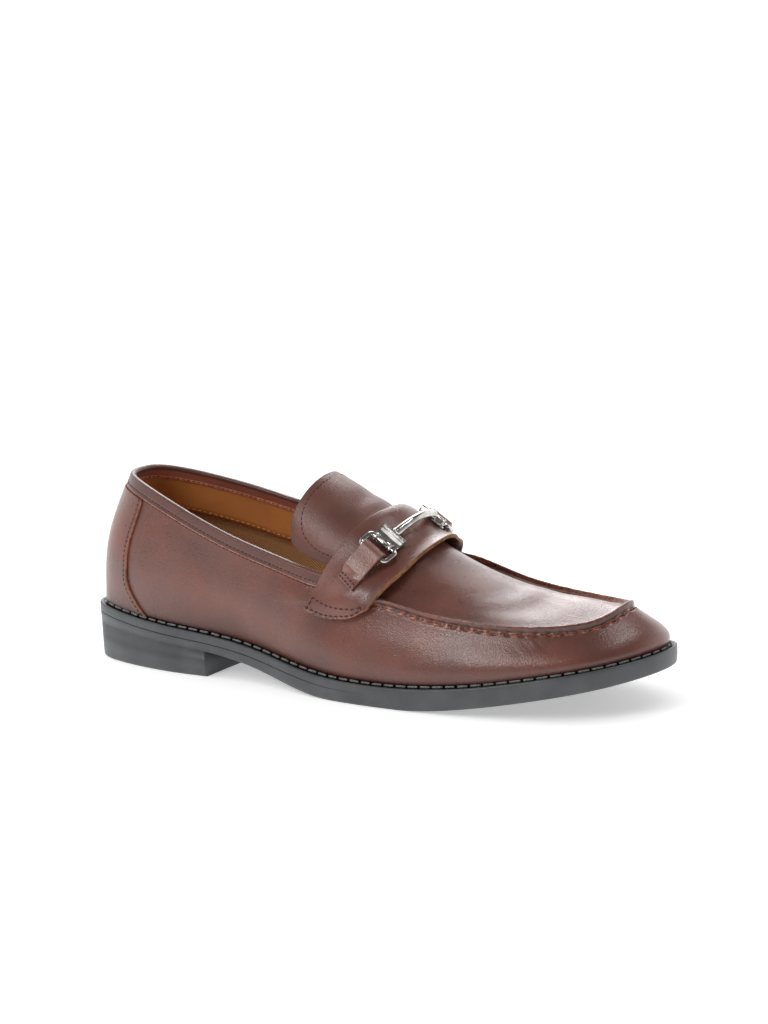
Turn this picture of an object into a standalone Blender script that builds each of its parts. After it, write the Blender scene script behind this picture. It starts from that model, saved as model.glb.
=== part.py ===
"""Bit loafer for the right foot: rubber sole, leather upper, instep strap and metal bit.

Lengths are metres. In the tables "along" runs from the heel to the toe, "across" is negative on the
outer side and "height" starts at the floor. "turn" goes once round the shoe: 0 at the back of the
heel, 0.5 at the toe, first along the outer side.
"""
import math

import bmesh
import bpy
import numpy as np
from mathutils import Matrix, Vector
from mathutils.bvhtree import BVHTree

MIDDLE = 0.14875
GAP = 0.0003
OVERLAY_GAP = 0.0003

WELT_THICK = 0.0045
WELT_REACH = 0.0042
WELT_ROUND = 0.0008
SOLE_ROUND = 0.0009
SOLE_INSET = 0.0004
HEEL_BREAST = 0.0715
HEEL_INSET = 0.0006
HEEL_TAPER = 0.0005
HEEL_CHAMFER = 0.0010
INSOLE_THICK = 0.0025
INSOLE_CLEAR = 0.0008

WALL = 0.0016
RIDGE_HEIGHT = 0.0022
TONGUE_THICK = 0.0022
TONGUE_LAP = 0.0050
BINDING_THICK = 0.0007
BINDING_DEPTH = 0.0058
COUNTER_THICK = 0.0010
COUNTER_REACH = 0.083
COUNTER_SPREAD = 0.0195
COUNTER_DRAW = 0.0042

STRAP_THICK = 0.0019
STRAP_GAP = 0.0005
STRAP_LIFT = 0.0014
STRAP_SWING = 88.0
STRAP_BOW = 3.6
STRAP_CORNER = 5.0
STRAP_AXIS = 0.040
TAB_THICK = 0.0016
TAB_WIDE = 0.0118
TAB_LONG = 0.0190
TAB_RETURN = 0.0030
RING_CLEAR = 0.0011
RING_HALF = 0.0081
RING_CORNER = 0.0018
WIRE = 0.0013
BLOCK_LONG = 0.0138
BLOCK_WIDE = 0.0064
BLOCK_HIGH = 0.0036
BLOCK_ROUND = 0.0006
BLOCK_RISE = 0.0007
BLOCK_HOLLOW = 0.0090
HOLLOW_DEPTH = 0.0010
BARREL_RADIUS = 0.0024
BARREL_LONG = 0.0104
BARREL_OUT = 0.0016
BAR_RADIUS = 0.0019
BAR_FLARE = 0.35
BAR_ARCH = 0.0018

# turn, along, across: outer edge of the sole
OUTLINE = [
    (0.000, -0.0055, 0.0000),
    (0.035, -0.0038, -0.0168),
    (0.075, 0.0135, -0.0280),
    (0.125, 0.0480, -0.0354),
    (0.200, 0.0940, -0.0366),
    (0.290, 0.1500, -0.0494),
    (0.365, 0.2075, -0.0512),
    (0.430, 0.2550, -0.0437),
    (0.470, 0.2898, -0.0262),
    (0.500, 0.3030, 0.0030),
    (0.530, 0.2943, 0.0278),
    (0.575, 0.2560, 0.0455),
    (0.640, 0.2120, 0.0512),
    (0.710, 0.1620, 0.0410),
    (0.800, 0.1000, 0.0295),
    (0.875, 0.0480, 0.0335),
    (0.925, 0.0135, 0.0280),
    (0.965, -0.0038, 0.0168),
]

# along, height of the welt's top face, height of the outsole's lower face
DECK = [
    (-0.005, 0.0283, 0.0186),
    (0.035, 0.0243, 0.0150),
    (0.070, 0.0215, 0.0126),
    (0.110, 0.0158, 0.0058),
    (0.145, 0.0111, 0.0002),
    (0.160, 0.0104, 0.0000),
    (0.192, 0.0107, 0.0000),
    (0.225, 0.0138, 0.0036),
    (0.265, 0.0205, 0.0108),
    (0.302, 0.0274, 0.0184),
]

# turn, lean of the wall away from upright where it leaves the welt, in degrees
FOOT = [
    (0.00, -6),
    (0.10, 2),
    (0.20, 10),
    (0.30, 16),
    (0.40, 18),
    (0.50, 30),
    (0.60, 18),
    (0.70, 14),
    (0.80, 10),
    (0.90, 2),
]

# turn, along, across, height, inward lean below, inward lean above: apron seam, middle of the quarters
SEAM = [
    (0.000, 0.0010, 0.0000, 0.0560, 9, 9),
    (0.045, 0.0050, -0.0186, 0.0555, 9, 9),
    (0.090, 0.0270, -0.0292, 0.0540, 7, 7),
    (0.150, 0.0660, -0.0340, 0.0500, 4, 4),
    (0.220, 0.1100, -0.0375, 0.0420, 4, 4),
    (0.285, 0.1480, -0.0412, 0.0460, 8, 12),
    (0.325, 0.1790, -0.0413, 0.0474, 10, 45),
    (0.350, 0.1977, -0.0406, 0.0436, 12, 62),
    (0.375, 0.2150, -0.0390, 0.0412, 14, 74),
    (0.425, 0.2480, -0.0332, 0.0392, 18, 82),
    (0.460, 0.2700, -0.0227, 0.0402, 32, 85),
    (0.482, 0.2800, -0.0112, 0.0428, 48, 86),
    (0.500, 0.2835, 0.0035, 0.0460, 54, 86),
    (0.520, 0.2810, 0.0140, 0.0444, 48, 86),
    (0.545, 0.2720, 0.0240, 0.0420, 32, 85),
    (0.580, 0.2480, 0.0322, 0.0416, 18, 86),
    (0.630, 0.2120, 0.0352, 0.0468, 14, 90),
    (0.655, 0.1945, 0.0359, 0.0513, 12, 87),
    (0.680, 0.1760, 0.0365, 0.0539, 10, 65),
    (0.720, 0.1450, 0.0370, 0.0540, 8, 12),
    (0.785, 0.1080, 0.0345, 0.0460, 4, 4),
    (0.850, 0.0660, 0.0340, 0.0500, 4, 4),
    (0.910, 0.0270, 0.0292, 0.0540, 7, 7),
    (0.955, 0.0050, 0.0186, 0.0555, 9, 9),
]

# turn, along, across, height, inward lean: collar, then the throat under the strap
TOPLINE = [
    (0.000, 0.0125, 0.0000, 0.0930, 24),
    (0.035, 0.0160, -0.0120, 0.0925, 22),
    (0.075, 0.0310, -0.0232, 0.0897, 14),
    (0.125, 0.0610, -0.0308, 0.0797, 6),
    (0.180, 0.0910, -0.0338, 0.0695, 2),
    (0.235, 0.1200, -0.0360, 0.0620, 2),
    (0.285, 0.1470, -0.0365, 0.0570, 12),
    (0.330, 0.1570, -0.0308, 0.0632, 42),
    (0.400, 0.1665, -0.0190, 0.0712, 60),
    (0.460, 0.1715, -0.0060, 0.0740, 59),
    (0.500, 0.1725, 0.0020, 0.0742, 57),
    (0.540, 0.1715, 0.0100, 0.0730, 54),
    (0.600, 0.1650, 0.0210, 0.0690, 54),
    (0.670, 0.1545, 0.0308, 0.0637, 42),
    (0.715, 0.1435, 0.0345, 0.0632, 12),
    (0.765, 0.1180, 0.0328, 0.0702, 2),
    (0.820, 0.0900, 0.0322, 0.0749, 2),
    (0.875, 0.0610, 0.0318, 0.0809, 6),
    (0.925, 0.0300, 0.0245, 0.0881, 14),
    (0.965, 0.0155, 0.0125, 0.0922, 22),
]

# part of the tongue's length, along and height of its crest, along and height of its side edges,
# reach of the outer and of the inner side edge
TONGUE = [
    (0.00, 0.1725, 0.0744, 0.1480, 0.0600, 0.0310, 0.0288),
    (0.33, 0.1570, 0.0834, 0.1380, 0.0616, 0.0305, 0.0279),
    (0.66, 0.1410, 0.0917, 0.1264, 0.0655, 0.0294, 0.0266),
    (1.00, 0.1252, 0.0990, 0.1140, 0.0732, 0.0268, 0.0247),
]

# swing from upright about the shoe's middle, along of the strap's rear edge, along of its front edge
STRAP = [
    (-95, 0.1310, 0.1655),
    (-75, 0.1406, 0.1765),
    (-60, 0.1443, 0.1826),
    (-40, 0.1506, 0.1862),
    (-20, 0.1577, 0.1879),
    (0, 0.1612, 0.1882),
    (20, 0.1595, 0.1866),
    (40, 0.1540, 0.1824),
    (60, 0.1470, 0.1766),
    (75, 0.1410, 0.1716),
    (95, 0.1345, 0.1650),
]

# distance past the seam up the apron, share of the height of the ridge that the apron's edge makes
RIDGE = [
    (-0.0014, 0.00),
    (0.0000, 0.25),
    (0.0006, 0.90),
    (0.0019, 1.00),
    (0.0034, 0.00),
]

# along and swing of the places round each point of the strap that it has to clear
STRAP_FEEL = [
    (0.0, 0.0),
    (0.0034, 0.0),
    (-0.0034, 0.0),
    (0.0, 4.4),
    (0.0, -4.4),
    (0.0026, 3.2),
    (-0.0026, 3.2),
    (0.0026, -3.2),
    (-0.0026, -3.2),
]

# swings of each tab's fold and of the block it holds, and their place across the strap
BIT_SIDES = {
    "outer": (-48.0, -32.0, 0.51),
    "inner": (41.0, 21.0, 0.46),
}

LOOKS = {
    "rubber": ((0.065, 0.067, 0.071), 0.55, 0.0),
    "leather": ((0.120, 0.058, 0.047), 0.42, 0.0),
    "leather_dark": ((0.085, 0.042, 0.034), 0.45, 0.0),
    "sock": ((0.150, 0.062, 0.022), 0.60, 0.0),
    "nickel": ((0.550, 0.540, 0.530), 0.22, 1.0),
}


def ring(rows):
    """Smooth closed line through rows whose first column is the turn."""
    rows = np.array(rows, float)
    turns, values = rows[:, 0], rows[:, 1:]
    count = len(turns)
    step = np.diff(np.append(turns, turns[0] + 1))
    system = np.zeros((count, count))
    want = np.zeros_like(values)
    for i in range(count):
        after = (i + 1) % count
        system[i, i - 1] += step[i - 1]
        system[i, i] += 2 * (step[i - 1] + step[i])
        system[i, after] += step[i]
        rise = (values[after] - values[i]) / step[i]
        want[i] = 6 * (rise - (values[i] - values[i - 1]) / step[i - 1])
    bend = np.linalg.solve(system, want)

    def at(turn):
        turn = np.mod(np.asarray(turn, float) - turns[0], 1) + turns[0]
        i = np.clip(np.searchsorted(turns, turn, side="right") - 1, 0, count - 1)
        j = (i + 1) % count
        size = step[i][..., None]
        past = (turn - turns[i])[..., None]
        left = size - past
        curve = (left**3 * bend[i] + past**3 * bend[j]) / (6 * size)
        start = (values[i] / size - bend[i] * size / 6) * left
        return curve + start + (values[j] / size - bend[j] * size / 6) * past

    return at


def profile(rows):
    """Smooth open line through rows whose first column is the place along it."""
    rows = np.array(rows, float)
    places, values = rows[:, 0], rows[:, 1:]
    count = len(places)
    step = np.diff(places)
    system = np.eye(count)
    want = np.zeros_like(values)
    for i in range(1, count - 1):
        system[i, i - 1:i + 2] = step[i - 1], 2 * (step[i - 1] + step[i]), step[i]
        rise = (values[i + 1] - values[i]) / step[i]
        want[i] = 6 * (rise - (values[i] - values[i - 1]) / step[i - 1])
    bend = np.linalg.solve(system, want)

    def at(place):
        place = np.asarray(place, float)
        i = np.clip(np.searchsorted(places, place) - 1, 0, count - 2)
        size = step[i][..., None]
        past = (place - places[i])[..., None]
        left = size - past
        curve = (left**3 * bend[i] + past**3 * bend[i + 1]) / (6 * size)
        start = (values[i] / size - bend[i] * size / 6) * left
        return curve + start + (values[i + 1] / size - bend[i + 1] * size / 6) * past

    return at


def unit(vectors):
    return vectors / np.linalg.norm(vectors, axis=-1, keepdims=True)


def ease(value, start, end):
    """0 before start, 1 past end, smooth between."""
    part = np.clip((np.asarray(value, float) - start) / (end - start), 0, 1)
    return part * part * (3 - 2 * part)


edge = ring(OUTLINE)
deck = profile(DECK)
foot_lean = ring(FOOT)
seam = ring(SEAM)
topline = ring(TOPLINE)
tongue_row = profile(TONGUE)
strap_row = profile(STRAP)
UP = np.array([0.0, 0.0, 1.0])


def outward(turn):
    """Level direction away from the shoe, square to the sole's edge."""
    run = edge(np.asarray(turn) + 1e-4) - edge(np.asarray(turn) - 1e-4)
    return unit(np.stack([run[..., 1], -run[..., 0], 0 * run[..., 0]], -1))


def sole_height(along, share):
    """Height between the welt's top face (share 0) and the outsole's lower face (share 1)."""
    top, low = np.moveaxis(deck(along), -1, 0)
    return top + (np.maximum(low, 0.0) - top) * share


def inset(turn, reach, lift=0.0, share=0.0):
    """Point on the sole, reach inside its edge."""
    point = edge(turn) - outward(turn)[..., :2] * reach
    height = sole_height(point[..., 0], share) + lift
    return np.concatenate([point, height[..., None]], -1)


def bezier(points, part):
    part = part[..., None]
    rest = 1 - part
    a, b, c, d = points
    return a * rest**3 + 3 * b * part * rest**2 + 3 * c * part**2 * rest + d * part**3


def ribs(turn):
    """Control points of the wall and of the apron or upper quarter at each turn."""
    foot = inset(turn, WELT_REACH, GAP)
    middle, top = seam(turn), topline(turn)
    out = outward(turn)
    lean = np.radians(foot_lean(turn))
    below = np.radians(middle[..., 3:4])
    above = np.radians(middle[..., 4:5])
    finish = np.radians(top[..., 3:4])
    middle, top = middle[..., :3], top[..., :3]
    inward = unit((top - middle) * (1, 1, 0) - out * 0.010)
    low = 0.38 * np.linalg.norm(middle - foot, axis=-1, keepdims=True)
    high = 0.36 * np.linalg.norm(top - middle, axis=-1, keepdims=True)
    wall = (
        foot,
        foot + (UP * np.cos(lean) + out * np.sin(lean)) * low,
        middle - (UP * np.cos(below) - out * np.sin(below)) * low,
        middle,
    )
    apron = (
        middle,
        middle + (UP * np.cos(above) + inward * np.sin(above)) * high,
        top - (UP * np.cos(finish) + inward * np.sin(finish)) * high,
        top,
    )
    return wall, apron


def skin(turn, rise):
    """Outside of the upper: rise 0 at the welt, 1 at the seam, 2 at the topline."""
    turn, rise = np.broadcast_arrays(np.asarray(turn, float), np.asarray(rise, float))
    wall, apron = ribs(turn)
    lower = bezier(wall, np.clip(rise, 0, 1))
    upper = bezier(apron, np.clip(rise - 1, 0, 1))
    return np.where((rise <= 1)[..., None], lower, upper)


def skin_normal(turn, rise):
    turn, rise = np.broadcast_arrays(np.asarray(turn, float), np.asarray(rise, float))
    round_shoe = skin(turn + 1e-3, rise) - skin(turn - 1e-3, rise)
    up_wall = skin(turn, np.clip(rise + 0.01, 0, 2)) - skin(turn, np.clip(rise - 0.01, 0, 2))
    return unit(np.cross(round_shoe, up_wall))


def span(turn, piece):
    """Length of the wall (piece 0) or of what lies above the seam (piece 1)."""
    points = ribs(turn)[piece]
    return np.linalg.norm(points[3] - points[0], axis=-1)


def paint(name):
    if name in bpy.data.materials:
        return bpy.data.materials[name]
    colour, roughness, metallic = LOOKS[name]
    material = bpy.data.materials.new(name)
    material.use_nodes = True
    shader = material.node_tree.nodes["Principled BSDF"]
    shader.inputs["Base Color"].default_value = (*colour, 1)
    shader.inputs["Roughness"].default_value = roughness
    shader.inputs["Metallic"].default_value = metallic
    return material


def add(name, mesh, look, collection, closed=True):
    """Object with its material; a closed one gets outward faces."""
    if closed:
        form = bmesh.new()
        form.from_mesh(mesh)
        bmesh.ops.remove_doubles(form, verts=form.verts, dist=1e-6)
        bmesh.ops.recalc_face_normals(form, faces=form.faces)
        if form.calc_volume(signed=True) < 0:
            bmesh.ops.reverse_faces(form, faces=form.faces)
        form.to_mesh(mesh)
        form.free()
    mesh.materials.clear()
    mesh.materials.append(paint(look))
    body = bpy.data.objects.new(name, mesh)
    collection.objects.link(body)
    return body


def mesh_of(name, points, faces):
    mesh = bpy.data.meshes.new(name)
    moved = np.asarray(points, float) - (MIDDLE, 0, 0)
    mesh.from_pydata(moved.tolist(), [], faces)
    return mesh


def baked(body):
    """The object's mesh after its modifiers."""
    graph = bpy.context.evaluated_depsgraph_get()
    mesh = bpy.data.meshes.new_from_object(body.evaluated_get(graph))
    name = body.name
    bpy.data.objects.remove(body)
    mesh.name = name
    return mesh


def grid_faces(rows, columns, closed):
    faces = []
    for r in range(rows - 1):
        for c in range(columns if closed else columns - 1):
            d = (c + 1) % columns
            faces.append((r * columns + c, r * columns + d, (r + 1) * columns + d, (r + 1) * columns + c))
    return faces


def sheet(name, grid, thick, look, collection, closed=False):
    """Leather of one thickness behind a grid of rows on its outside."""
    rows, columns = grid.shape[:2]
    outside = mesh_of(name, grid.reshape(-1, 3), grid_faces(rows, columns, closed))
    body = add(name, outside, look, scrap, closed=False)
    solid = body.modifiers.new("thickness", "SOLIDIFY")
    solid.thickness = thick
    solid.offset = -1
    return add(name, baked(body), look, collection)


def loft(name, loops, look, collection):
    """Solid strip: loops along it, each a closed section listed out on one face and back on the other."""
    count, size = loops.shape[:2]
    faces = []
    for r in range(count - 1):
        for c in range(size):
            d = (c + 1) % size
            faces.append((r * size + c, r * size + d, (r + 1) * size + d, (r + 1) * size + c))
    for first in (0, (count - 1) * size):
        for c in range(size // 2 - 1):
            faces.append((first + c, first + c + 1, first + size - 2 - c, first + size - 1 - c))
    return add(name, mesh_of(name, loops.reshape(-1, 3), faces), look, collection)


def plate(name, rows, look, collection, cut=False):
    """Solid between stacked rings of the sole's outline; cut leaves a straight end instead of a toe."""
    count, size = rows.shape[:2]
    faces = grid_faces(count, size, True)
    for first in (0, (count - 1) * size):
        for i in range(0 if cut else 1, size // 2 if cut else (size + 1) // 2):
            j = size - 1 - i if cut else size - i
            k = i + 1
            m = j - 1
            if not cut and i == 1:
                faces.append((first, first + 1, first + size - 1))
            if k < m:
                faces.append((first + i, first + k, first + m, first + j))
            elif k == m:
                faces.append((first + i, first + k, first + j))
    return add(name, mesh_of(name, rows.reshape(-1, 3), faces), look, collection)


def stations(count):
    """Turns round the shoe, closer at the heel and the toe."""
    part = np.arange(count) / count
    return part - 0.5 * np.sin(4 * np.pi * part) / (4 * np.pi)


def tree_of(*bodies):
    points, faces = [], []
    for body in bodies:
        first = len(points)
        points += [v.co.copy() for v in body.data.vertices]
        faces += [[first + i for i in p.vertices] for p in body.data.polygons]
    return BVHTree.FromPolygons(points, faces)


def outermost(tree, along, swing):
    """Distance from the shoe's middle line to the outermost surface in the direction of the swing."""
    way = Vector((0, math.sin(math.radians(swing)), math.cos(math.radians(swing))))
    middle = Vector((along - MIDDLE, 0, STRAP_AXIS))
    hit = tree.ray_cast(middle + way * 0.15, -way)
    return (0.15 - hit[3], hit[1]) if hit[0] else (0.0, way)


def swung(along, swing, reach):
    swing = np.radians(swing)
    return np.stack([along, reach * np.sin(swing), STRAP_AXIS + reach * np.cos(swing)], -1)


for old in list(bpy.data.objects):
    bpy.data.objects.remove(old)
shoe = bpy.data.collections.new("bit_loafer")
cutters = bpy.data.collections.new("cutters")
scrap = bpy.data.collections.new("guides")
for group in (shoe, cutters, scrap):
    bpy.context.scene.collection.children.link(group)
cutters.hide_render = True
scrap.hide_render = True

# Sole: welt on the outsole, heel under its back
around = stations(72)
welt_low = WELT_THICK - GAP
welt_rows = [
    inset(around, WELT_ROUND),
    inset(around, 0.0, -WELT_ROUND),
    inset(around, 0.0, -welt_low + WELT_ROUND / 2),
    inset(around, WELT_ROUND, -welt_low),
]
plate("welt", np.array(welt_rows), "rubber", shoe)
sole_rows = [
    inset(around, WELT_ROUND, -WELT_THICK),
    inset(around, SOLE_INSET / 2, -WELT_THICK - WELT_ROUND / 2),
    inset(around, SOLE_INSET, SOLE_ROUND, 1.0),
    inset(around, SOLE_INSET + SOLE_ROUND, 0.0, 1.0),
]
plate("outsole", np.array(sole_rows), "rubber", shoe)

heel_half = np.linspace(0, 0.17, 18)
for _ in range(20):
    heel_half *= (HEEL_BREAST / edge(heel_half[-1:])[0, 0])**0.5
heel_turns = np.concatenate([heel_half[::-1] * -1, heel_half[1:]])
inner_shift = HEEL_BREAST / edge(-heel_half[-1:])[0, 0]
heel_turns = np.where(heel_turns < 0, heel_turns * inner_shift, heel_turns)


def heel_ring(reach, height):
    """Ring of the heel block; height is None where it meets the outsole."""
    points = inset(heel_turns, reach, -GAP, 1.0)
    points[0, 0] = points[-1, 0] = HEEL_BREAST
    if height is not None:
        points[:, 2] = height
    return points


heel_order = np.roll(np.arange(len(heel_turns)), -(len(heel_turns) // 2))
heel_rows = [
    heel_ring(HEEL_INSET, None),
    heel_ring(HEEL_INSET + HEEL_TAPER, HEEL_CHAMFER),
    heel_ring(HEEL_INSET + HEEL_TAPER + HEEL_CHAMFER, 0.0),
]
plate("heel", np.array(heel_rows)[:, heel_order], "rubber", shoe)

# Insole inside the upper
sock_turns = stations(60)
sock_reach = WELT_REACH + WALL + INSOLE_CLEAR
sock_rows = [
    inset(sock_turns, sock_reach, GAP + INSOLE_THICK),
    inset(sock_turns, sock_reach, GAP),
]
plate("insole", np.array(sock_rows), "sock", shoe)

# Upper: one wall, with the apron's edge standing up as a step
turns = stations(84)
front = ease(np.abs(turns - 0.5), 0.225, 0.185)
lower_rises = [0.0, 0.15, 0.38, 0.60, 0.80]
upper_rises = [1.36, 1.68, 2.0]
levels = [np.full_like(turns, rise) for rise in lower_rises]
levels += [1 + past / span(turns, 0 if past < 0 else 1) for past, _ in RIDGE]
levels += [np.full_like(turns, rise) for rise in upper_rises]
shares = [0.0] * len(lower_rises) + [share for _, share in RIDGE] + [0.0] * len(upper_rises)
upper_grid = skin(turns, np.array(levels))
upper = sheet("upper", upper_grid, WALL, "leather", shoe, closed=True)
ridge = (np.outer(shares, front) * RIDGE_HEIGHT)[..., None] * skin_normal(turns, np.array(levels))
raised = (upper_grid + ridge).reshape(-1, 3) - (MIDDLE, 0, 0)
for vertex, place in zip(upper.data.vertices, raised):
    vertex.co = place

# Tongue: its root lies inside the throat under the strap, its end stands free
across = np.linspace(-1, 1, 17)
throat = 0.5 + 0.16 * across
tongue_rows = []
for lap in (TONGUE_LAP, 0.0):
    level = 2 - lap / span(throat, 1)
    tongue_rows.append(skin(throat, level) - skin_normal(throat, level) * (WALL + OVERLAY_GAP))
for part in (0.14, 0.27, 0.41, 0.56, 0.71, 0.86, 1.0):
    row = tongue_row(part * (1 - 0.16 * np.abs(across)**6))
    arch = np.cos(across * np.pi / 2)
    along = row[:, 2] + (row[:, 0] - row[:, 2]) * arch
    height = row[:, 3] + (row[:, 1] - row[:, 3]) * arch
    wide = np.where(across < 0, row[:, 4], row[:, 5])
    tongue_rows.append(np.stack([along, wide * np.sin(across * np.pi / 2), height], -1))
tongue = sheet("tongue", np.array(tongue_rows), TONGUE_THICK, "leather", shoe)

# Collar binding folds over the rim from under one end of the strap to the other
rim = stations(84)
rim = np.concatenate([rim[rim > 0.715] - 1, rim[rim < 0.285]])
rim_length = span(rim, 1)
near, far = OVERLAY_GAP, OVERLAY_GAP + BINDING_THICK


def rim_point(depth, off, above=0.0):
    """Point beside the rim: depth below it down the wall, off outward, above over it."""
    rise = 2 - depth / rim_length
    climb = unit(skin(rim, 2.0) - skin(rim, 1.9))
    return skin(rim, rise) + skin_normal(rim, rise) * off + climb * above


section = [
    rim_point(BINDING_DEPTH, far),
    rim_point(BINDING_DEPTH / 2, far),
    rim_point(0.0, far),
    rim_point(0.0, -WALL / 2, far),
    rim_point(0.0, -WALL - far),
    rim_point(BINDING_DEPTH, -WALL - far),
    rim_point(BINDING_DEPTH, -WALL - near),
    rim_point(0.0, -WALL - near, near),
    rim_point(0.0, -WALL / 2, near),
    rim_point(0.0, near, near),
    rim_point(BINDING_DEPTH / 2, near),
    rim_point(BINDING_DEPTH, near),
]
binding = loft("collar_binding", np.swapaxes(np.array(section), 0, 1), "leather_dark", shoe)

# Counter laid over the back of the quarters
counter_rises = np.linspace(0.0, 2.0, 10)
counter_rows = []
for rise in counter_rises:
    reach = COUNTER_REACH + COUNTER_SPREAD * max(0.0, 1 - rise / 0.75)**2
    reach -= COUNTER_DRAW * max(0.0, rise - 1)**2
    columns = np.linspace(-reach, reach, 23)
    low_stop = 2 * GAP / span(columns, 0)
    high_stop = (BINDING_DEPTH + 2 * GAP) / span(columns, 1)
    levels = low_stop + (2 - high_stop - low_stop) * rise / 2
    off = OVERLAY_GAP + COUNTER_THICK
    counter_rows.append(skin(columns, levels) + skin_normal(columns, levels) * off)
sheet("back_counter", np.array(counter_rows), COUNTER_THICK, "leather", shoe)

# Strap drawn over upper, binding and tongue, sewn down at both ends
under = tree_of(upper, tongue, binding)
widths = np.linspace(0, 1, 8)
places = np.linspace(-1, 1, 29)
end_swing = STRAP_SWING + STRAP_BOW * np.sin(np.pi * widths)
end_swing -= STRAP_CORNER * np.clip((widths - 0.8) / 0.2, 0, 1)**2
swings = places[None, :] * end_swing[:, None]
rows = strap_row(swings)
alongs = rows[..., 0] + (rows[..., 1] - rows[..., 0]) * widths[:, None]
floor_reach = np.zeros_like(swings)
for index in np.ndindex(swings.shape):
    near_front = 1 - 0.7 * ease(widths[index[0]], 0.3, 0.8)
    for ahead, round_shoe in STRAP_FEEL:
        swing = swings[index] + round_shoe
        found, normal = outermost(under, alongs[index] + ahead * near_front, swing)
        upright = normal.y * math.sin(math.radians(swing)) + normal.z * math.cos(math.radians(swing))
        found += (STRAP_GAP + STRAP_THICK) / max(upright, 0.7)
        floor_reach[index] = max(floor_reach[index], found)
front_lift = STRAP_LIFT * ease(widths, 0.5, 1.0)[:, None] * ease(swings, -10, 28) * ease(swings, 72, 40)
floor_reach = floor_reach + front_lift


def calmed(values, times):
    """Values of the strap's grid evened out with their neighbours."""
    for _ in range(times):
        wide = np.pad(values, 1, mode="edge")
        values = (wide[1:-1, :-2] + 2 * wide[1:-1, 1:-1] + wide[1:-1, 2:]) / 4
        wide = np.pad(values, 1, mode="edge")
        values = (wide[:-2, 1:-1] + 2 * wide[1:-1, 1:-1] + wide[2:, 1:-1]) / 4
    return values


reach = calmed(floor_reach, 6)
for _ in range(40):
    reach = reach + calmed(np.maximum(floor_reach - reach, 0), 3)
reach = np.maximum(reach, floor_reach)
strap = sheet("strap", swung(alongs, swings, reach)[:, ::-1], STRAP_THICK, "leather", shoe)
over = tree_of(strap)


def on_strap(swing, width):
    """Point on the strap's outside and its normal."""
    row = strap_row(swing)
    along = row[0] + (row[1] - row[0]) * width
    reach, normal = outermost(over, along, swing)
    return swung(along, swing, reach), np.array(normal)


def under_point(point):
    """Place on the strap's outside that a point lies over, and its normal."""
    swing = math.degrees(math.atan2(point[1], point[2] - STRAP_AXIS))
    reach, normal = outermost(over, point[0], swing)
    return swung(point[0], swing, reach), np.array(normal)


def bit_frame(swing, width):
    """Place on the strap with directions along the shoe, over the strap and away from it."""
    place, normal = on_strap(swing, width)
    over_way = unit(on_strap(swing + 5, width)[0] - on_strap(swing - 5, width)[0])
    ahead = unit(np.cross(over_way, normal))
    normal = np.cross(ahead, over_way)
    return place, ahead, over_way, normal


def wire(name, points, radii, closed, look, collection, sides=2):
    """Round bar along points."""
    line = bpy.data.curves.new(name, "CURVE")
    line.dimensions = "3D"
    line.bevel_depth = 1.0
    line.bevel_resolution = sides
    line.use_fill_caps = not closed
    spline = line.splines.new("POLY")
    spline.points.add(len(points) - 1)
    spline.use_cyclic_u = closed
    for knot, place, radius in zip(spline.points, points, radii):
        knot.co = (place[0] - MIDDLE, place[1], place[2], 1)
        knot.radius = radius
    body = bpy.data.objects.new(name, line)
    scrap.objects.link(body)
    return add(name, baked(body), look, collection)


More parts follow.
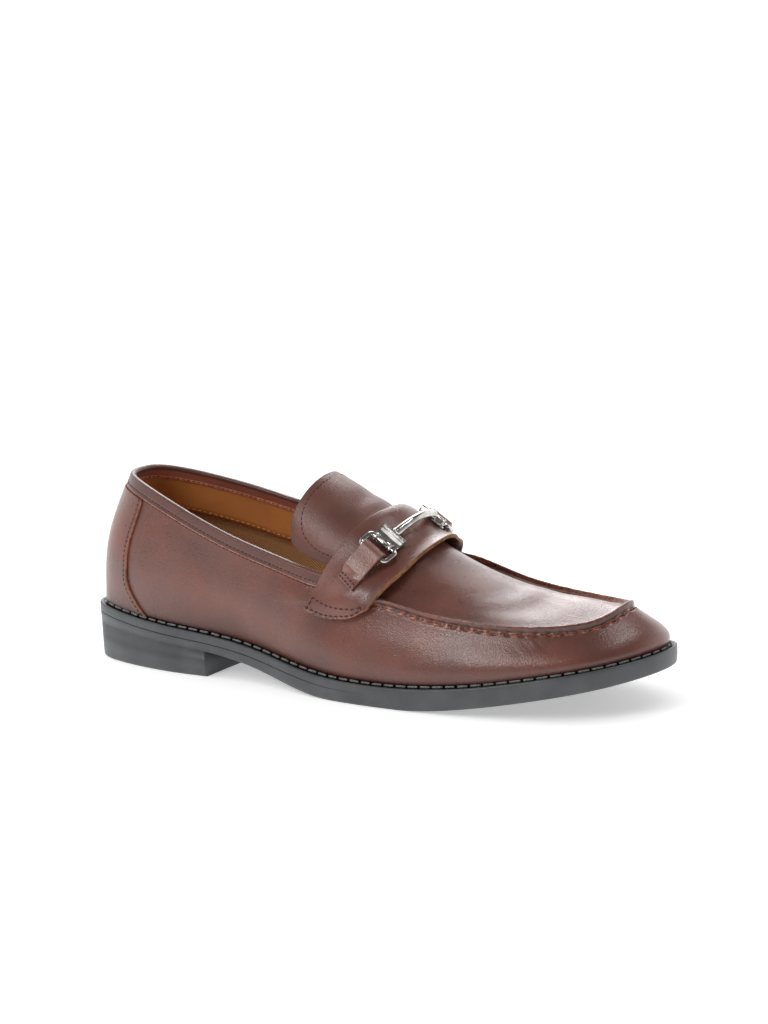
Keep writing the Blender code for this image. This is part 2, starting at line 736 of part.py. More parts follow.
ends = []
for side, (fold, block_swing, bit_place) in BIT_SIDES.items():
    # Wire ring: one side in the tab's fold, the other in the block's barrel
    toward = math.copysign(1.0, block_swing)
    place, ahead, over_way, normal = bit_frame(block_swing, bit_place)
    fold_place, fold_normal = on_strap(fold, bit_place)
    ring_height = OVERLAY_GAP + TAB_THICK + GAP + WIRE + RING_CLEAR
    fold_side = fold_place + fold_normal * ring_height
    drop = over_way * toward
    if np.dot(fold_side - place, drop) < 0:
        drop = -drop
    barrel_side = place + normal * (OVERLAY_GAP + BARREL_RADIUS) + drop * (BLOCK_WIDE / 2 + BARREL_OUT)
    corners = [(barrel_side, 1, 1), (barrel_side, 1, -1), (fold_side, -1, -1), (fold_side, -1, 1)]
    loop = []
    for centre, way, sign in corners:
        run = unit(fold_side - barrel_side) * way
        for angle in ((0, 30, 60, 90) if sign * way > 0 else (90, 60, 30, 0)):
            turn_in = math.radians(angle)
            sideways = RING_HALF - RING_CORNER + RING_CORNER * math.cos(turn_in)
            inwards = RING_CORNER - RING_CORNER * math.sin(turn_in)
            loop.append(centre + ahead * sign * sideways + run * inwards)
    loop = np.array(loop)
    wire("bit_ring_" + side, loop, np.full(len(loop), WIRE), True, "nickel", shoe)

    # Tab: sewn end on the strap, fold round the ring, short return underneath
    bend_radius = WIRE + GAP + TAB_THICK / 2
    low = OVERLAY_GAP + TAB_THICK / 2 - ring_height
    path = []
    for part in np.linspace(0, 1, 9):
        path.append((TAB_LONG * (1 - part), low + (bend_radius - low) * ease(part, 0.12, 0.80)))
    for angle in (45, 90, 135, 180):
        round_wire = math.radians(angle)
        path.append((-bend_radius * math.sin(round_wire), bend_radius * math.cos(round_wire)))
    path.append((TAB_RETURN, -bend_radius))
    path = np.array(path)
    run = unit(np.gradient(path, axis=0))
    beside = np.stack([-run[:, 1], run[:, 0]], -1) * TAB_THICK / 2
    section = np.concatenate([path + beside, (path - beside)[::-1]])
    level = unit(fold_normal - ahead * np.dot(fold_normal, ahead))
    down = np.cross(ahead, level)
    if np.dot(down, drop) < 0:
        down = -down
    loops = []
    for shift in np.linspace(-TAB_WIDE / 2, TAB_WIDE / 2, 5):
        points = []
        for away, height in section:
            flat = down * away + ahead * shift
            stiff = fold_side + flat + level * height
            place_on, normal_on = under_point(fold_place + flat)
            loose = place_on + normal_on * max(height + ring_height, OVERLAY_GAP)
            points.append(stiff + (loose - stiff) * ease(away, 0.003, 0.010))
        loops.append(points)
    loft("tab_" + side, np.array(loops), "leather", shoe)

    # Block with a hollow top, and the barrel that the ring turns in
    pose = Matrix.Identity(4)
    for column, way in enumerate((ahead, over_way, normal)):
        pose.col[column][:3] = way
    centre = place + normal * (BLOCK_RISE + BLOCK_HIGH / 2)
    pose.translation = Vector(centre - (MIDDLE, 0, 0))
    bpy.ops.mesh.primitive_cube_add(size=1)
    block = bpy.context.object
    block.name = "bit_end_" + side
    block.data.transform(Matrix.Diagonal((BLOCK_LONG, BLOCK_WIDE, BLOCK_HIGH, 1)))
    block.data.transform(pose)
    rounding = block.modifiers.new("edges", "BEVEL")
    rounding.width = BLOCK_ROUND
    rounding.segments = 2
    tools = []
    barrel_centre = barrel_side - (MIDDLE, 0, 0)
    hollow_centre = pose @ Vector((0, 0, BLOCK_HIGH / 2 + BLOCK_HOLLOW - HOLLOW_DEPTH))
    for radius, length, facets, mode, centre in (
        (BLOCK_HOLLOW, BLOCK_LONG + 0.002, 48, "DIFFERENCE", hollow_centre),
        (BARREL_RADIUS, BARREL_LONG, 16, "UNION", barrel_centre),
        (WIRE + GAP, BARREL_LONG + 0.004, 16, "DIFFERENCE", barrel_centre),
    ):
        bpy.ops.mesh.primitive_cylinder_add(vertices=facets, radius=radius, depth=length)
        tool = bpy.context.object
        stand = Vector(ahead).to_track_quat("Z", "Y").to_matrix().to_4x4()
        stand.translation = Vector(centre)
        tool.data.transform(stand)
        tool.hide_render = True
        tool.display_type = "WIRE"
        cut = block.modifiers.new(mode.lower(), "BOOLEAN")
        cut.operation = mode
        cut.solver = "EXACT"
        cut.object = tool
        tools.append(tool)
    add("bit_end_" + side, baked(block), "nickel", shoe)
    for tool in tools:
        for group in list(tool.users_collection):
            group.objects.unlink(tool)
        cutters.objects.link(tool)
    ends.append((block_swing, bit_place))

# Bar arched between the two blocks, wider towards each
bar_height = BLOCK_RISE + BAR_RADIUS * (1 + BAR_FLARE)
bar_ends = []
for swing, width in ends:
    place, ahead, over_way, normal = bit_frame(swing, width)
    inward = over_way * -math.copysign(1.0, swing)
    start = place + normal * bar_height + inward * (BLOCK_WIDE / 2 + GAP)
    bar_ends.append([start, start + inward * 0.0016])
bar_points = list(bar_ends[0])
bar_radii = [BAR_RADIUS * (1 + BAR_FLARE), BAR_RADIUS * (1 + 0.85 * BAR_FLARE)]
for part in np.linspace(0.20, 0.80, 11):
    swing, width = np.array(ends[0]) + (np.array(ends[1]) - np.array(ends[0])) * part
    place, normal = on_strap(swing, width)
    bar_points.append(place + normal * (bar_height + BAR_ARCH * math.sin(math.pi * part)**2))
    bar_radii.append(BAR_RADIUS * (1 + BAR_FLARE * (2 * part - 1)**2))
bar_points += bar_ends[1][::-1]
bar_radii += bar_radii[1::-1]
wire("bit_bar", bar_points, bar_radii, False, "nickel", shoe, sides=3)
bpy.data.collections.remove(scrap)
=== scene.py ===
"""Looks of a bit loafer for the right foot: polished brown leather, black rubber sole, gunmetal bit.

Lengths are metres. In the tables "along" runs from the heel to the toe, "across" is negative on the
outer side and "height" starts at the floor. "turn" goes once round the shoe: 0 at the back of the
heel, 0.5 at the toe, first along the outer side. "rise" climbs the upper: 0 at the welt, 1 at the
apron seam, 2 at the topline.
"""
import math

import bmesh
import bpy
import numpy as np
from mathutils import Matrix, Vector
from mathutils.bvhtree import BVHTree


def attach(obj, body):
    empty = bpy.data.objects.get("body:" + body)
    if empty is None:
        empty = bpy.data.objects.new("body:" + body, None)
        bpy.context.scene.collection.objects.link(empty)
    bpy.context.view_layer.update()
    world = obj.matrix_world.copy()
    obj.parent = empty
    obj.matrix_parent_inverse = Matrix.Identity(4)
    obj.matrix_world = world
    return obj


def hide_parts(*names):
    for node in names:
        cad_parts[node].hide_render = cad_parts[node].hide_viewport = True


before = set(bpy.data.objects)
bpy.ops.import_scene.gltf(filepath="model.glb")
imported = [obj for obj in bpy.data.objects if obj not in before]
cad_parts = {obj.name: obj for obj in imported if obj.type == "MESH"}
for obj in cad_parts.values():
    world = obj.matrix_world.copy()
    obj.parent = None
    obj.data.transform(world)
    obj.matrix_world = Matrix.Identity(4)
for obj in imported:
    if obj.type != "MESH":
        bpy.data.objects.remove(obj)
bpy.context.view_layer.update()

MM = 0.001
UP = np.array([0.0, 0.0, 1.0])
# Place inside the shoe; leather has its outside away from it
HEART = np.array([0.13, 0.0, 0.045])
# Pieces that mirror the bit's own card
BIT_METAL = bpy.data.collections.new("bit_metal")

# Sizes of the solids that the pieces stand for
MIDDLE = 0.14875
GAP = 0.0003
OVERLAY_GAP = 0.0003
WELT_REACH = 0.0042
HEEL_BREAST = 0.0715
INSOLE_THICK = 0.0025
INSOLE_CLEAR = 0.0008
WALL = 0.0016
WALL_PULL = 0.38
APRON_PULL = 0.36
INWARD_BIAS = 0.010
TONGUE_THICK = 0.0022
TONGUE_LAP = 0.0050
BINDING_THICK = 0.0007
BINDING_DEPTH = 0.0058
COUNTER_THICK = 0.0010
COUNTER_REACH = 0.083
COUNTER_SPREAD = 0.0195
COUNTER_DRAW = 0.0042
STRAP_THICK = 0.0019
STRAP_AXIS = 0.040
STRAP_SWING = 88.0
STRAP_BOW = 3.6
STRAP_CORNER = 5.0
TAB_THICK = 0.0016
TAB_WIDE = 0.0118
TAB_LONG = 0.0190
TAB_RETURN = 0.0030
TAB_BULGE = 0.0006
RING_CLEAR = 0.0011
RING_HALF = 0.0081
RING_CORNER = 0.0018
WIRE = 0.0013
BLOCK_LONG = 0.0138
BLOCK_WIDE = 0.0064
BLOCK_HIGH = 0.0036
BLOCK_RISE = 0.0007
BARREL_RADIUS = 0.0024
BARREL_LONG = 0.0104
BARREL_OUT = 0.0016
BAR_RADIUS = 0.0019
BAR_FLARE = 0.35
BAR_ARCH = 0.0018

# Camera: round the shoe, above the floor and rolled, in degrees; aim and distance in metres
CAMERA_AZIMUTH = 32.0
CAMERA_ELEVATION = 12.8
CAMERA_ROLL = -2.1
CAMERA_TARGET = (0.150 - MIDDLE, 0.0, 0.0465)
CAMERA_DISTANCE = 1.6
CAMERA_LENS = 116.96
CAMERA_SENSOR = 36.0
AIM_RIGHT = 0.0029
AIM_UP = 0.0340

# Light of the room: overhead and behind the camera, then low behind the shoe
ROOM_DIM = 0.19
ROOM_BRIGHT = 1.5

# Soft light from above: where it comes from, its power and its spread in degrees
OVERHEAD_PLACE = (-0.3, 0.2, 1.5)
OVERHEAD_POWER = 1.5
OVERHEAD_SPREAD = 100.0

# Backdrop: its width, and the glow of the lit table under it
FLOOR_WIDE = 40.0
FLOOR_GLOW = 0.40

# What the softboxes are aimed at
LIT_SPOT = (0.0, 0.0, 0.05)

# name, place, width and height, power, whether it lights or only gleams: softboxes aimed at the shoe
SOFTBOXES = [
    ("heel_side", (-1.25, -0.35, 0.75), (0.9, 1.0), 2.6, True),
    ("front_left", (-0.38, -1.12, 0.82), (0.5, 0.5), 4.8, True),
    ("front_spot", (-0.34, -1.12, 0.72), (0.34, 0.22), 1.4, False),
    ("behind", (-0.62, 1.03, 1.11), (0.62, 0.92), 12.3, False),
    ("bit_card", (0.15, -0.60, 1.20), (0.50, 0.60), 1.25, False),
    ("over_toe", (0.56, 0.32, 1.28), (0.34, 0.14), 2.6, False),
]

# Gathers under the apron's edge: their pitch and depth in mm
GATHER_PITCH = 6.4
GATHER_DEPTH = 0.26

# Depth of the leather lining below the collar's rim and below the throat, and how much thinner the
# cloth under it leaves the wall
LINING_DEPTH = 0.022
LINING_THROAT = 0.003
CLOTH_STEP = 0.00045

# Binding: line of its outer stitch below the rim in mm, pitch and depth of the teeth of its pinked edge
BINDING_STITCH = 3.75
PINKING_PITCH = 0.0017
PINKING_DEPTH = 0.00035

# Turns between which the apron has its turned edge
APRON_TURNS = (0.29, 0.71)

# Sole, in mm: how far inside its edge the plates close, height of the joint of welt and outsole from
# the welt's top face, width of the groove in that joint, how far inside the edge the stitch runs
SOLE_CORE = 9.0
SOLE_JOINT = -4.36
SOLE_GROOVE = 0.16
WELT_STITCH = 3.1

# Pores of the calf, in mm: about 0.3 on real calf, and 0.65 is the finest that shows
PORE = 0.65

# pitch of the stitches, or of the bit's reeds, their length, width and height, how uneven they are
STITCH_SIZES = {
    "welt_stitches": (0.0065, 0.0058, 0.0012, 0.0013, 0.08),
    "apron_stitches": (0.0032, 0.0020, 0.0007, 0.0006, 0.45),
    "lining_stitches": (0.0030, 0.0022, 0.0007, 0.0005, 0.1),
    "binding_stitches": (0.0024, 0.0017, 0.0006, 0.0005, 0.1),
    "binding_inner_stitches": (0.0026, 0.0015, 0.0006, 0.0005, 0.1),
    "counter_stitches": (0.0024, 0.0016, 0.0006, 0.0005, 0.1),
    "tongue_stitches": (0.0025, 0.0020, 0.0006, 0.0004, 0.1),
    "strap_stitches": (0.0029, 0.0021, 0.0009, 0.0006, 0.1),
    "tab_stitches": (0.0021, 0.0016, 0.0008, 0.0006, 0.1),
    "bit_reeds": (0.00085, 0.0005, 0.0012, 0.0004, 0.0),
}

# turn, along, across: outer edge of the sole
OUTLINE = [
    (0.000, -0.0055, 0.0000),
    (0.035, -0.0038, -0.0168),
    (0.075, 0.0135, -0.0280),
    (0.125, 0.0480, -0.0354),
    (0.200, 0.0940, -0.0366),
    (0.290, 0.1500, -0.0494),
    (0.365, 0.2075, -0.0512),
    (0.430, 0.2550, -0.0437),
    (0.470, 0.2898, -0.0262),
    (0.500, 0.3030, 0.0030),
    (0.530, 0.2943, 0.0278),
    (0.575, 0.2560, 0.0455),
    (0.640, 0.2120, 0.0512),
    (0.710, 0.1620, 0.0410),
    (0.800, 0.1000, 0.0295),
    (0.875, 0.0480, 0.0335),
    (0.925, 0.0135, 0.0280),
    (0.965, -0.0038, 0.0168),
]

# along, height of the welt's top face, height of the outsole's lower face
DECK = [
    (-0.005, 0.0283, 0.0186),
    (0.035, 0.0243, 0.0150),
    (0.070, 0.0215, 0.0126),
    (0.110, 0.0158, 0.0058),
    (0.145, 0.0111, 0.0002),
    (0.160, 0.0104, 0.0000),
    (0.192, 0.0107, 0.0000),
    (0.225, 0.0138, 0.0036),
    (0.265, 0.0205, 0.0108),
    (0.302, 0.0274, 0.0184),
]

# turn, lean of the wall away from upright where it leaves the welt, in degrees
FOOT = [
    (0.00, -6),
    (0.10, 2),
    (0.20, 10),
    (0.30, 16),
    (0.40, 18),
    (0.50, 30),
    (0.60, 18),
    (0.70, 14),
    (0.80, 10),
    (0.90, 2),
]

# turn, along, across, height, inward lean below, inward lean above: apron seam, middle of the quarters
SEAM = [
    (0.000, 0.0010, 0.0000, 0.0560, 9, 9),
    (0.045, 0.0050, -0.0186, 0.0555, 9, 9),
    (0.090, 0.0270, -0.0292, 0.0540, 7, 7),
    (0.150, 0.0660, -0.0340, 0.0500, 4, 4),
    (0.220, 0.1100, -0.0375, 0.0420, 4, 4),
    (0.285, 0.1480, -0.0412, 0.0460, 8, 12),
    (0.325, 0.1790, -0.0413, 0.0474, 10, 45),
    (0.350, 0.1977, -0.0406, 0.0436, 12, 62),
    (0.375, 0.2150, -0.0390, 0.0412, 14, 74),
    (0.425, 0.2480, -0.0332, 0.0392, 18, 82),
    (0.460, 0.2700, -0.0227, 0.0402, 32, 85),
    (0.482, 0.2800, -0.0112, 0.0428, 48, 86),
    (0.500, 0.2835, 0.0035, 0.0460, 54, 86),
    (0.520, 0.2810, 0.0140, 0.0444, 48, 86),
    (0.545, 0.2720, 0.0240, 0.0420, 32, 85),
    (0.580, 0.2480, 0.0322, 0.0416, 18, 86),
    (0.630, 0.2120, 0.0352, 0.0468, 14, 90),
    (0.655, 0.1945, 0.0359, 0.0513, 12, 87),
    (0.680, 0.1760, 0.0365, 0.0539, 10, 65),
    (0.720, 0.1450, 0.0370, 0.0540, 8, 12),
    (0.785, 0.1080, 0.0345, 0.0460, 4, 4),
    (0.850, 0.0660, 0.0340, 0.0500, 4, 4),
    (0.910, 0.0270, 0.0292, 0.0540, 7, 7),
    (0.955, 0.0050, 0.0186, 0.0555, 9, 9),
]

# turn, along, across, height, inward lean: collar, then the throat under the strap
TOPLINE = [
    (0.000, 0.0125, 0.0000, 0.0930, 24),
    (0.035, 0.0160, -0.0120, 0.0925, 22),
    (0.075, 0.0310, -0.0232, 0.0897, 14),
    (0.125, 0.0610, -0.0308, 0.0797, 6),
    (0.180, 0.0910, -0.0338, 0.0695, 2),
    (0.235, 0.1200, -0.0360, 0.0620, 2),
    (0.285, 0.1470, -0.0365, 0.0570, 12),
    (0.330, 0.1570, -0.0308, 0.0632, 42),
    (0.400, 0.1665, -0.0190, 0.0712, 60),
    (0.460, 0.1715, -0.0060, 0.0740, 59),
    (0.500, 0.1725, 0.0020, 0.0742, 57),
    (0.540, 0.1715, 0.0100, 0.0730, 54),
    (0.600, 0.1650, 0.0210, 0.0690, 54),
    (0.670, 0.1545, 0.0308, 0.0637, 42),
    (0.715, 0.1435, 0.0345, 0.0632, 12),
    (0.765, 0.1180, 0.0328, 0.0702, 2),
    (0.820, 0.0900, 0.0322, 0.0749, 2),
    (0.875, 0.0610, 0.0318, 0.0809, 6),
    (0.925, 0.0300, 0.0245, 0.0881, 14),
    (0.965, 0.0155, 0.0125, 0.0922, 22),
]

# part of the tongue's length, along and height of its crest, along and height of its side edges,
# reach of the outer and of the inner side edge
TONGUE = [
    (0.00, 0.1725, 0.0744, 0.1480, 0.0600, 0.0310, 0.0288),
    (0.33, 0.1570, 0.0834, 0.1380, 0.0616, 0.0305, 0.0279),
    (0.66, 0.1410, 0.0917, 0.1264, 0.0655, 0.0294, 0.0266),
    (1.00, 0.1252, 0.0990, 0.1140, 0.0732, 0.0268, 0.0247),
]

# swing from upright about the shoe's middle, along of the strap's rear edge, along of its front edge
STRAP = [
    (-95, 0.1310, 0.1655),
    (-75, 0.1406, 0.1765),
    (-60, 0.1443, 0.1826),
    (-40, 0.1506, 0.1862),
    (-20, 0.1577, 0.1879),
    (0, 0.1612, 0.1882),
    (20, 0.1595, 0.1866),
    (40, 0.1540, 0.1824),
    (60, 0.1470, 0.1766),
    (75, 0.1410, 0.1716),
    (95, 0.1345, 0.1650),
]

# swings of each tab's fold and of the block it holds, and their place across the strap
BIT_SIDES = {
    "outer": (-48.0, -32.0, 0.51),
    "inner": (41.0, 21.0, 0.46),
}

# distance above the apron seam and height of its relief, in mm: gathered groove below the seam,
# turned edge and soft trough above it
SEAM_RELIEF = [
    (-3.6, 0.0),
    (-2.5, -0.08),
    (-1.6, -0.36),
    (-0.8, -0.62),
    (-0.25, -0.40),
    (0.08, 0.60),
    (0.3, 1.45),
    (0.6, 1.98),
    (1.0, 2.15),
    (1.4, 2.10),
    (1.75, 1.75),
    (2.05, 1.00),
    (2.4, 0.24),
    (3.0, -0.25),
    (4.0, -0.58),
    (5.5, -0.74),
    (8.0, -0.66),
    (12.0, -0.38),
    (16.0, -0.14),
    (21.0, 0.0),
]

# turn and rise where a crease starts and ends, its half width and its depth in mm; minus is a ridge
CREASES = [
    (0.385, 1.30, 0.615, 1.32, 7.0, 0.35),
    (0.400, 1.46, 0.600, 1.48, 6.0, 0.22),
    (0.405, 1.38, 0.595, 1.40, 5.0, -0.20),
    (0.300, 0.30, 0.375, 0.42, 6.0, 0.45),
    (0.690, 0.30, 0.630, 0.42, 6.0, 0.40),
    (0.424, 0.86, 0.432, 0.60, 0.55, 0.10),
    (0.429, 0.88, 0.436, 0.66, 0.50, -0.09),
    (0.434, 0.84, 0.440, 0.58, 0.55, 0.11),
    (0.439, 0.86, 0.445, 0.62, 0.50, -0.09),
    (0.418, 0.74, 0.427, 0.50, 0.60, 0.10),
    (0.413, 0.66, 0.422, 0.46, 0.60, -0.08),
]


def smooth_line(rows, closed=False):
    """Smooth line through rows whose first column is the place along it, or the turn of a closed one."""
    rows = np.array(rows, float)
    places, values = rows[:, 0], rows[:, 1:]
    count = len(places)
    step = np.diff(np.append(places, places[0] + 1)) if closed else np.diff(places)
    system = np.eye(count)
    want = np.zeros_like(values)
    for i in range(count) if closed else range(1, count - 1):
        after = (i + 1) % count
        system[i, [i - 1, i, after]] = step[i - 1], 2 * (step[i - 1] + step[i]), step[i]
        rise = (values[after] - values[i]) / step[i]
        want[i] = 6 * (rise - (values[i] - values[i - 1]) / step[i - 1])
    bend = np.linalg.solve(system, want)

    def at(place):
        place = np.asarray(place, float)
        if closed:
            place = np.mod(place - places[0], 1) + places[0]
        i = np.clip(np.searchsorted(places, place, side="right") - 1, 0, len(step) - 1)
        j = (i + 1) % count
        size = step[i][..., None]
        past = (place - places[i])[..., None]
        left = size - past
        curve = (left**3 * bend[i] + past**3 * bend[j]) / (6 * size)
        start = (values[i] / size - bend[i] * size / 6) * left
        return curve + start + (values[j] / size - bend[j] * size / 6) * past

    return at


def run_along(points):
    """Distance from a line's first point to each of its points."""
    return np.concatenate([[0], np.cumsum(np.linalg.norm(np.diff(points, axis=0), axis=-1))])


def unit(vectors):
    return vectors / np.linalg.norm(vectors, axis=-1, keepdims=True)


def ease(value, start, end):
    """0 before start, 1 past end, smooth between."""
    part = np.clip((np.asarray(value, float) - start) / (end - start), 0, 1)
    return part * part * (3 - 2 * part)


edge = smooth_line(OUTLINE, True)
deck = smooth_line(DECK)
foot_lean = smooth_line(FOOT, True)
seam = smooth_line(SEAM, True)
topline = smooth_line(TOPLINE, True)
tongue_row = smooth_line(TONGUE)
strap_row = smooth_line(STRAP)


def outward(turn):
    """Level direction away from the shoe, square to the sole's edge."""
    run = edge(np.asarray(turn) + 1e-4) - edge(np.asarray(turn) - 1e-4)
    return unit(np.stack([run[..., 1], -run[..., 0], 0 * run[..., 0]], -1))


def inset(turn, reach, lift=0.0, share=0.0):
    """Point on the sole, reach inside its edge: share 0 on the welt's top, 1 under the outsole."""
    point = edge(turn) - outward(turn)[..., :2] * np.asarray(reach)[..., None]
    top, low = np.moveaxis(deck(point[..., 0]), -1, 0)
    height = top + (np.maximum(low, 0.0) - top) * share + lift
    return np.concatenate([point, height[..., None]], -1)


def bezier(points, part):
    part = part[..., None]
    rest = 1 - part
    a, b, c, d = points
    return a * rest**3 + 3 * b * part * rest**2 + 3 * c * part**2 * rest + d * part**3


def ribs(turn):
    """Control points of the wall and of the apron or upper quarter at each turn."""
    foot = inset(turn, WELT_REACH, GAP)
    middle, top = seam(turn), topline(turn)
    out = outward(turn)
    lean = np.radians(foot_lean(turn))
    below = np.radians(middle[..., 3:4])
    above = np.radians(middle[..., 4:5])
    finish = np.radians(top[..., 3:4])
    middle, top = middle[..., :3], top[..., :3]
    inward = unit((top - middle) * (1, 1, 0) - out * INWARD_BIAS)
    low = WALL_PULL * np.linalg.norm(middle - foot, axis=-1, keepdims=True)
    high = APRON_PULL * np.linalg.norm(top - middle, axis=-1, keepdims=True)
    wall = (
        foot,
        foot + (UP * np.cos(lean) + out * np.sin(lean)) * low,
        middle - (UP * np.cos(below) - out * np.sin(below)) * low,
        middle,
    )
    apron = (
        middle,
        middle + (UP * np.cos(above) + inward * np.sin(above)) * high,
        top - (UP * np.cos(finish) + inward * np.sin(finish)) * high,
        top,
    )
    return wall, apron


def skin(turn, rise):
    """Outside of the upper."""
    turn, rise = np.broadcast_arrays(np.asarray(turn, float), np.asarray(rise, float))
    wall, apron = ribs(turn)
    lower = bezier(wall, np.clip(rise, 0, 1))
    upper = bezier(apron, np.clip(rise - 1, 0, 1))
    return np.where((rise <= 1)[..., None], lower, upper)


def skin_normal(turn, rise):
    turn, rise = np.broadcast_arrays(np.asarray(turn, float), np.asarray(rise, float))
    round_shoe = skin(turn + 1e-3, rise) - skin(turn - 1e-3, rise)
    up_wall = skin(turn, np.clip(rise + 0.01, 0, 2)) - skin(turn, np.clip(rise - 0.01, 0, 2))
    return unit(np.cross(round_shoe, up_wall))


def span(turn, piece):
    """Length of the wall (piece 0) or of what lies above the seam (piece 1)."""
    points = ribs(turn)[piece]
    return np.linalg.norm(points[3] - points[0], axis=-1)


def stations(count):
    """Turns round the shoe, closer at the heel and the toe."""
    part = np.arange(count) / count
    return part - 0.5 * np.sin(4 * np.pi * part) / (4 * np.pi)


# Materials

def tint(code):
    """Linear colour of an sRGB hex value."""
    parts = [int(code[i:i + 2], 16) / 255 for i in (1, 3, 5)]
    return (*[p / 12.92 if p <= 0.04045 else ((p + 0.055) / 1.055)**2.4 for p in parts], 1.0)


# Share of a wave texture's own scale that gives one wave per unit
WAVE = math.pi / 10


def per_mm(size):
    """Texture scale for a pattern of that size in millimetres."""
    return 1000.0 / size


def add_node(tree, kind, values=None, links=None, **settings):
    """One node: settings are its own, values go to its sockets, links are the sockets that feed it."""
    made = tree.nodes.new(kind)
    for name, value in settings.items():
        setattr(made, name, value)
    for name, value in (values or {}).items():
        made.inputs[name].default_value = value
    for name, source in (links or {}).items():
        tree.links.new(source, made.inputs[name])
    return made


def blank(name, **sockets):
    """New material with its shader's even values set: material, node tree, shader, place on the piece."""
    made = bpy.data.materials.new(name)
    made.use_nodes = True
    tree = made.node_tree
    shader = tree.nodes["Principled BSDF"]
    for socket, value in sockets.items():
        shader.inputs[socket.replace("_", " ")].default_value = value
    place = add_node(tree, "ShaderNodeTexCoord").outputs["Object"]
    return made, tree, shader, place


def coloured(tree, shader, colours, clouds, shine, relief):
    """Colour, shine and relief of a finish from its patterns.

    clouds: a pattern and its range, which leads from the first colour to the second.
    shine: a pattern, its range and the roughness at both ends of it.
    relief: a pattern, its depth in mm and its strength.
    """
    values = {"From Min": clouds[1], "From Max": clouds[2]}
    share = add_node(tree, "ShaderNodeMapRange", values, {"Value": clouds[0]})
    values = {6: tint(colours[0]), 7: tint(colours[1])}
    colour = add_node(tree, "ShaderNodeMix", values, {0: share.outputs["Result"]}, data_type="RGBA")
    tree.links.new(colour.outputs[2], shader.inputs["Base Color"])
    values = dict(zip(("From Min", "From Max", "To Min", "To Max"), shine[1:]))
    rough = add_node(tree, "ShaderNodeMapRange", values, {"Value": shine[0]})
    tree.links.new(rough.outputs["Result"], shader.inputs["Roughness"])
    values = {"Distance": relief[1] * MM, "Strength": relief[2]}
    bump = add_node(tree, "ShaderNodeBump", values, {"Height": relief[0]})
    for layer in ("Normal", "Coat Normal"):
        tree.links.new(bump.outputs["Normal"], shader.inputs[layer])


def clouded(name, colours, clouds, shine, relief, **sockets):
    """Finish from cloudy noise of several sizes: material, node tree, shader, place on the piece.

    clouds and shine start with the noise's size in mm and its detail, and go on as in coloured.
    relief: depth in mm, strength, then size in mm, detail and share of each noise in it.
    """
    made, tree, shader, place = blank(name, **sockets)
    depth, strength, *grains = relief
    noise = {}
    for size, detail in dict.fromkeys(row[:2] for row in (clouds, shine, *grains)):
        values = {"Scale": per_mm(size), "Detail": detail}
        field = add_node(tree, "ShaderNodeTexNoise", values, {"Vector": place})
        noise[size, detail] = field.outputs["Fac"]
    height = noise[grains[0][:2]]
    for size, detail, share in grains[1:]:
        links = {0: noise[size, detail], 2: height}
        height = add_node(tree, "ShaderNodeMath", {1: share}, links, operation="MULTIPLY_ADD").outputs[0]
    clouds = (noise[clouds[:2]], *clouds[2:])
    shine = (noise[shine[:2]], *shine[2:])
    coloured(tree, shader, colours, clouds, shine, (height, depth, strength))
    return made, tree, shader, place


def layered(tree, shader, place, layers):
    """Colours laid over the base colour.

    A layer has the piece's mask for it or none, the noise in it or none (size in mm, detail, range and
    strength), and its dark and light colour. Without a mask the light colour lies where the noise is.
    """
    colour = shader.inputs["Base Color"].links[0].from_socket
    for mask, grain, dark, light in layers:
        links = {6: colour}
        if mask:
            links[0] = add_node(tree, "ShaderNodeAttribute", attribute_name=mask).outputs["Fac"]
        if grain:
            values = {"Scale": per_mm(grain[0]), "Detail": grain[1]}
            field = add_node(tree, "ShaderNodeTexNoise", values, {"Vector": place})
            values = dict(zip(("From Min", "From Max", "To Max"), grain[2:]))
            share = add_node(tree, "ShaderNodeMapRange", values, {"Value": field.outputs["Fac"]})
            if mask:
                values = {6: tint(dark), 7: tint(light)}
                source = {0: share.outputs["Result"]}
                links[7] = add_node(tree, "ShaderNodeMix", values, source, data_type="RGBA").outputs[2]
            else:
                links[0] = share.outputs["Result"]
        colour = add_node(tree, "ShaderNodeMix", {7: tint(light)}, links, data_type="RGBA").outputs[2]
    tree.links.new(colour, shader.inputs["Base Color"])


def polished_calf(name, tone, deep, warm, raw, rough=0.29, coat=0.35):
    """Corrected-grain calf, dyed and polished: clouded brown, fine pores, a broad soft shine."""
    clouds = (32, 2, 0.32, 0.70)
    shine = (9, 1, 0.3, 0.7, rough - 0.03, rough + 0.05)
    relief = (0.20, 0.75, (PORE, 3, 1.0), (5.0, 1, 0.20))
    polish = {"Coat_Weight": coat, "Coat_Roughness": 0.20}
    made, tree, shader, place = clouded(name, (deep, tone), clouds, shine, relief, **polish)
    # Warm patches and pores all over; then painted shade and burnished places, rust and raw places of the
    # piece
    layers = [
        (None, (18, 2, 0.48, 0.72, 0.32), None, warm),
        (None, (PORE, 3, 0.42, 0.66, 0.34), None, deep),
        # Painted shade where the piece marks it, and the burnished edge band of the tongue
        ("burnish", None, None, "#2c1310"),
        ("rust", (1.3, 3, 0.36, 0.62, 1.0), "#4a2018", "#ad6646"),
        ("raw", (1.6, 4, 0.38, 0.64, 1.0), "#41231b", raw),
    ]
    layered(tree, shader, place, layers)
    # Raw leather is duller
    raw_mask = add_node(tree, "ShaderNodeAttribute", attribute_name="raw")
    links = {0: raw_mask.outputs["Fac"], 2: shader.inputs["Roughness"].links[0].from_socket}
    duller = add_node(tree, "ShaderNodeMath", {1: 0.25}, links, operation="MULTIPLY_ADD")
    tree.links.new(duller.outputs[0], shader.inputs["Roughness"])
    return made


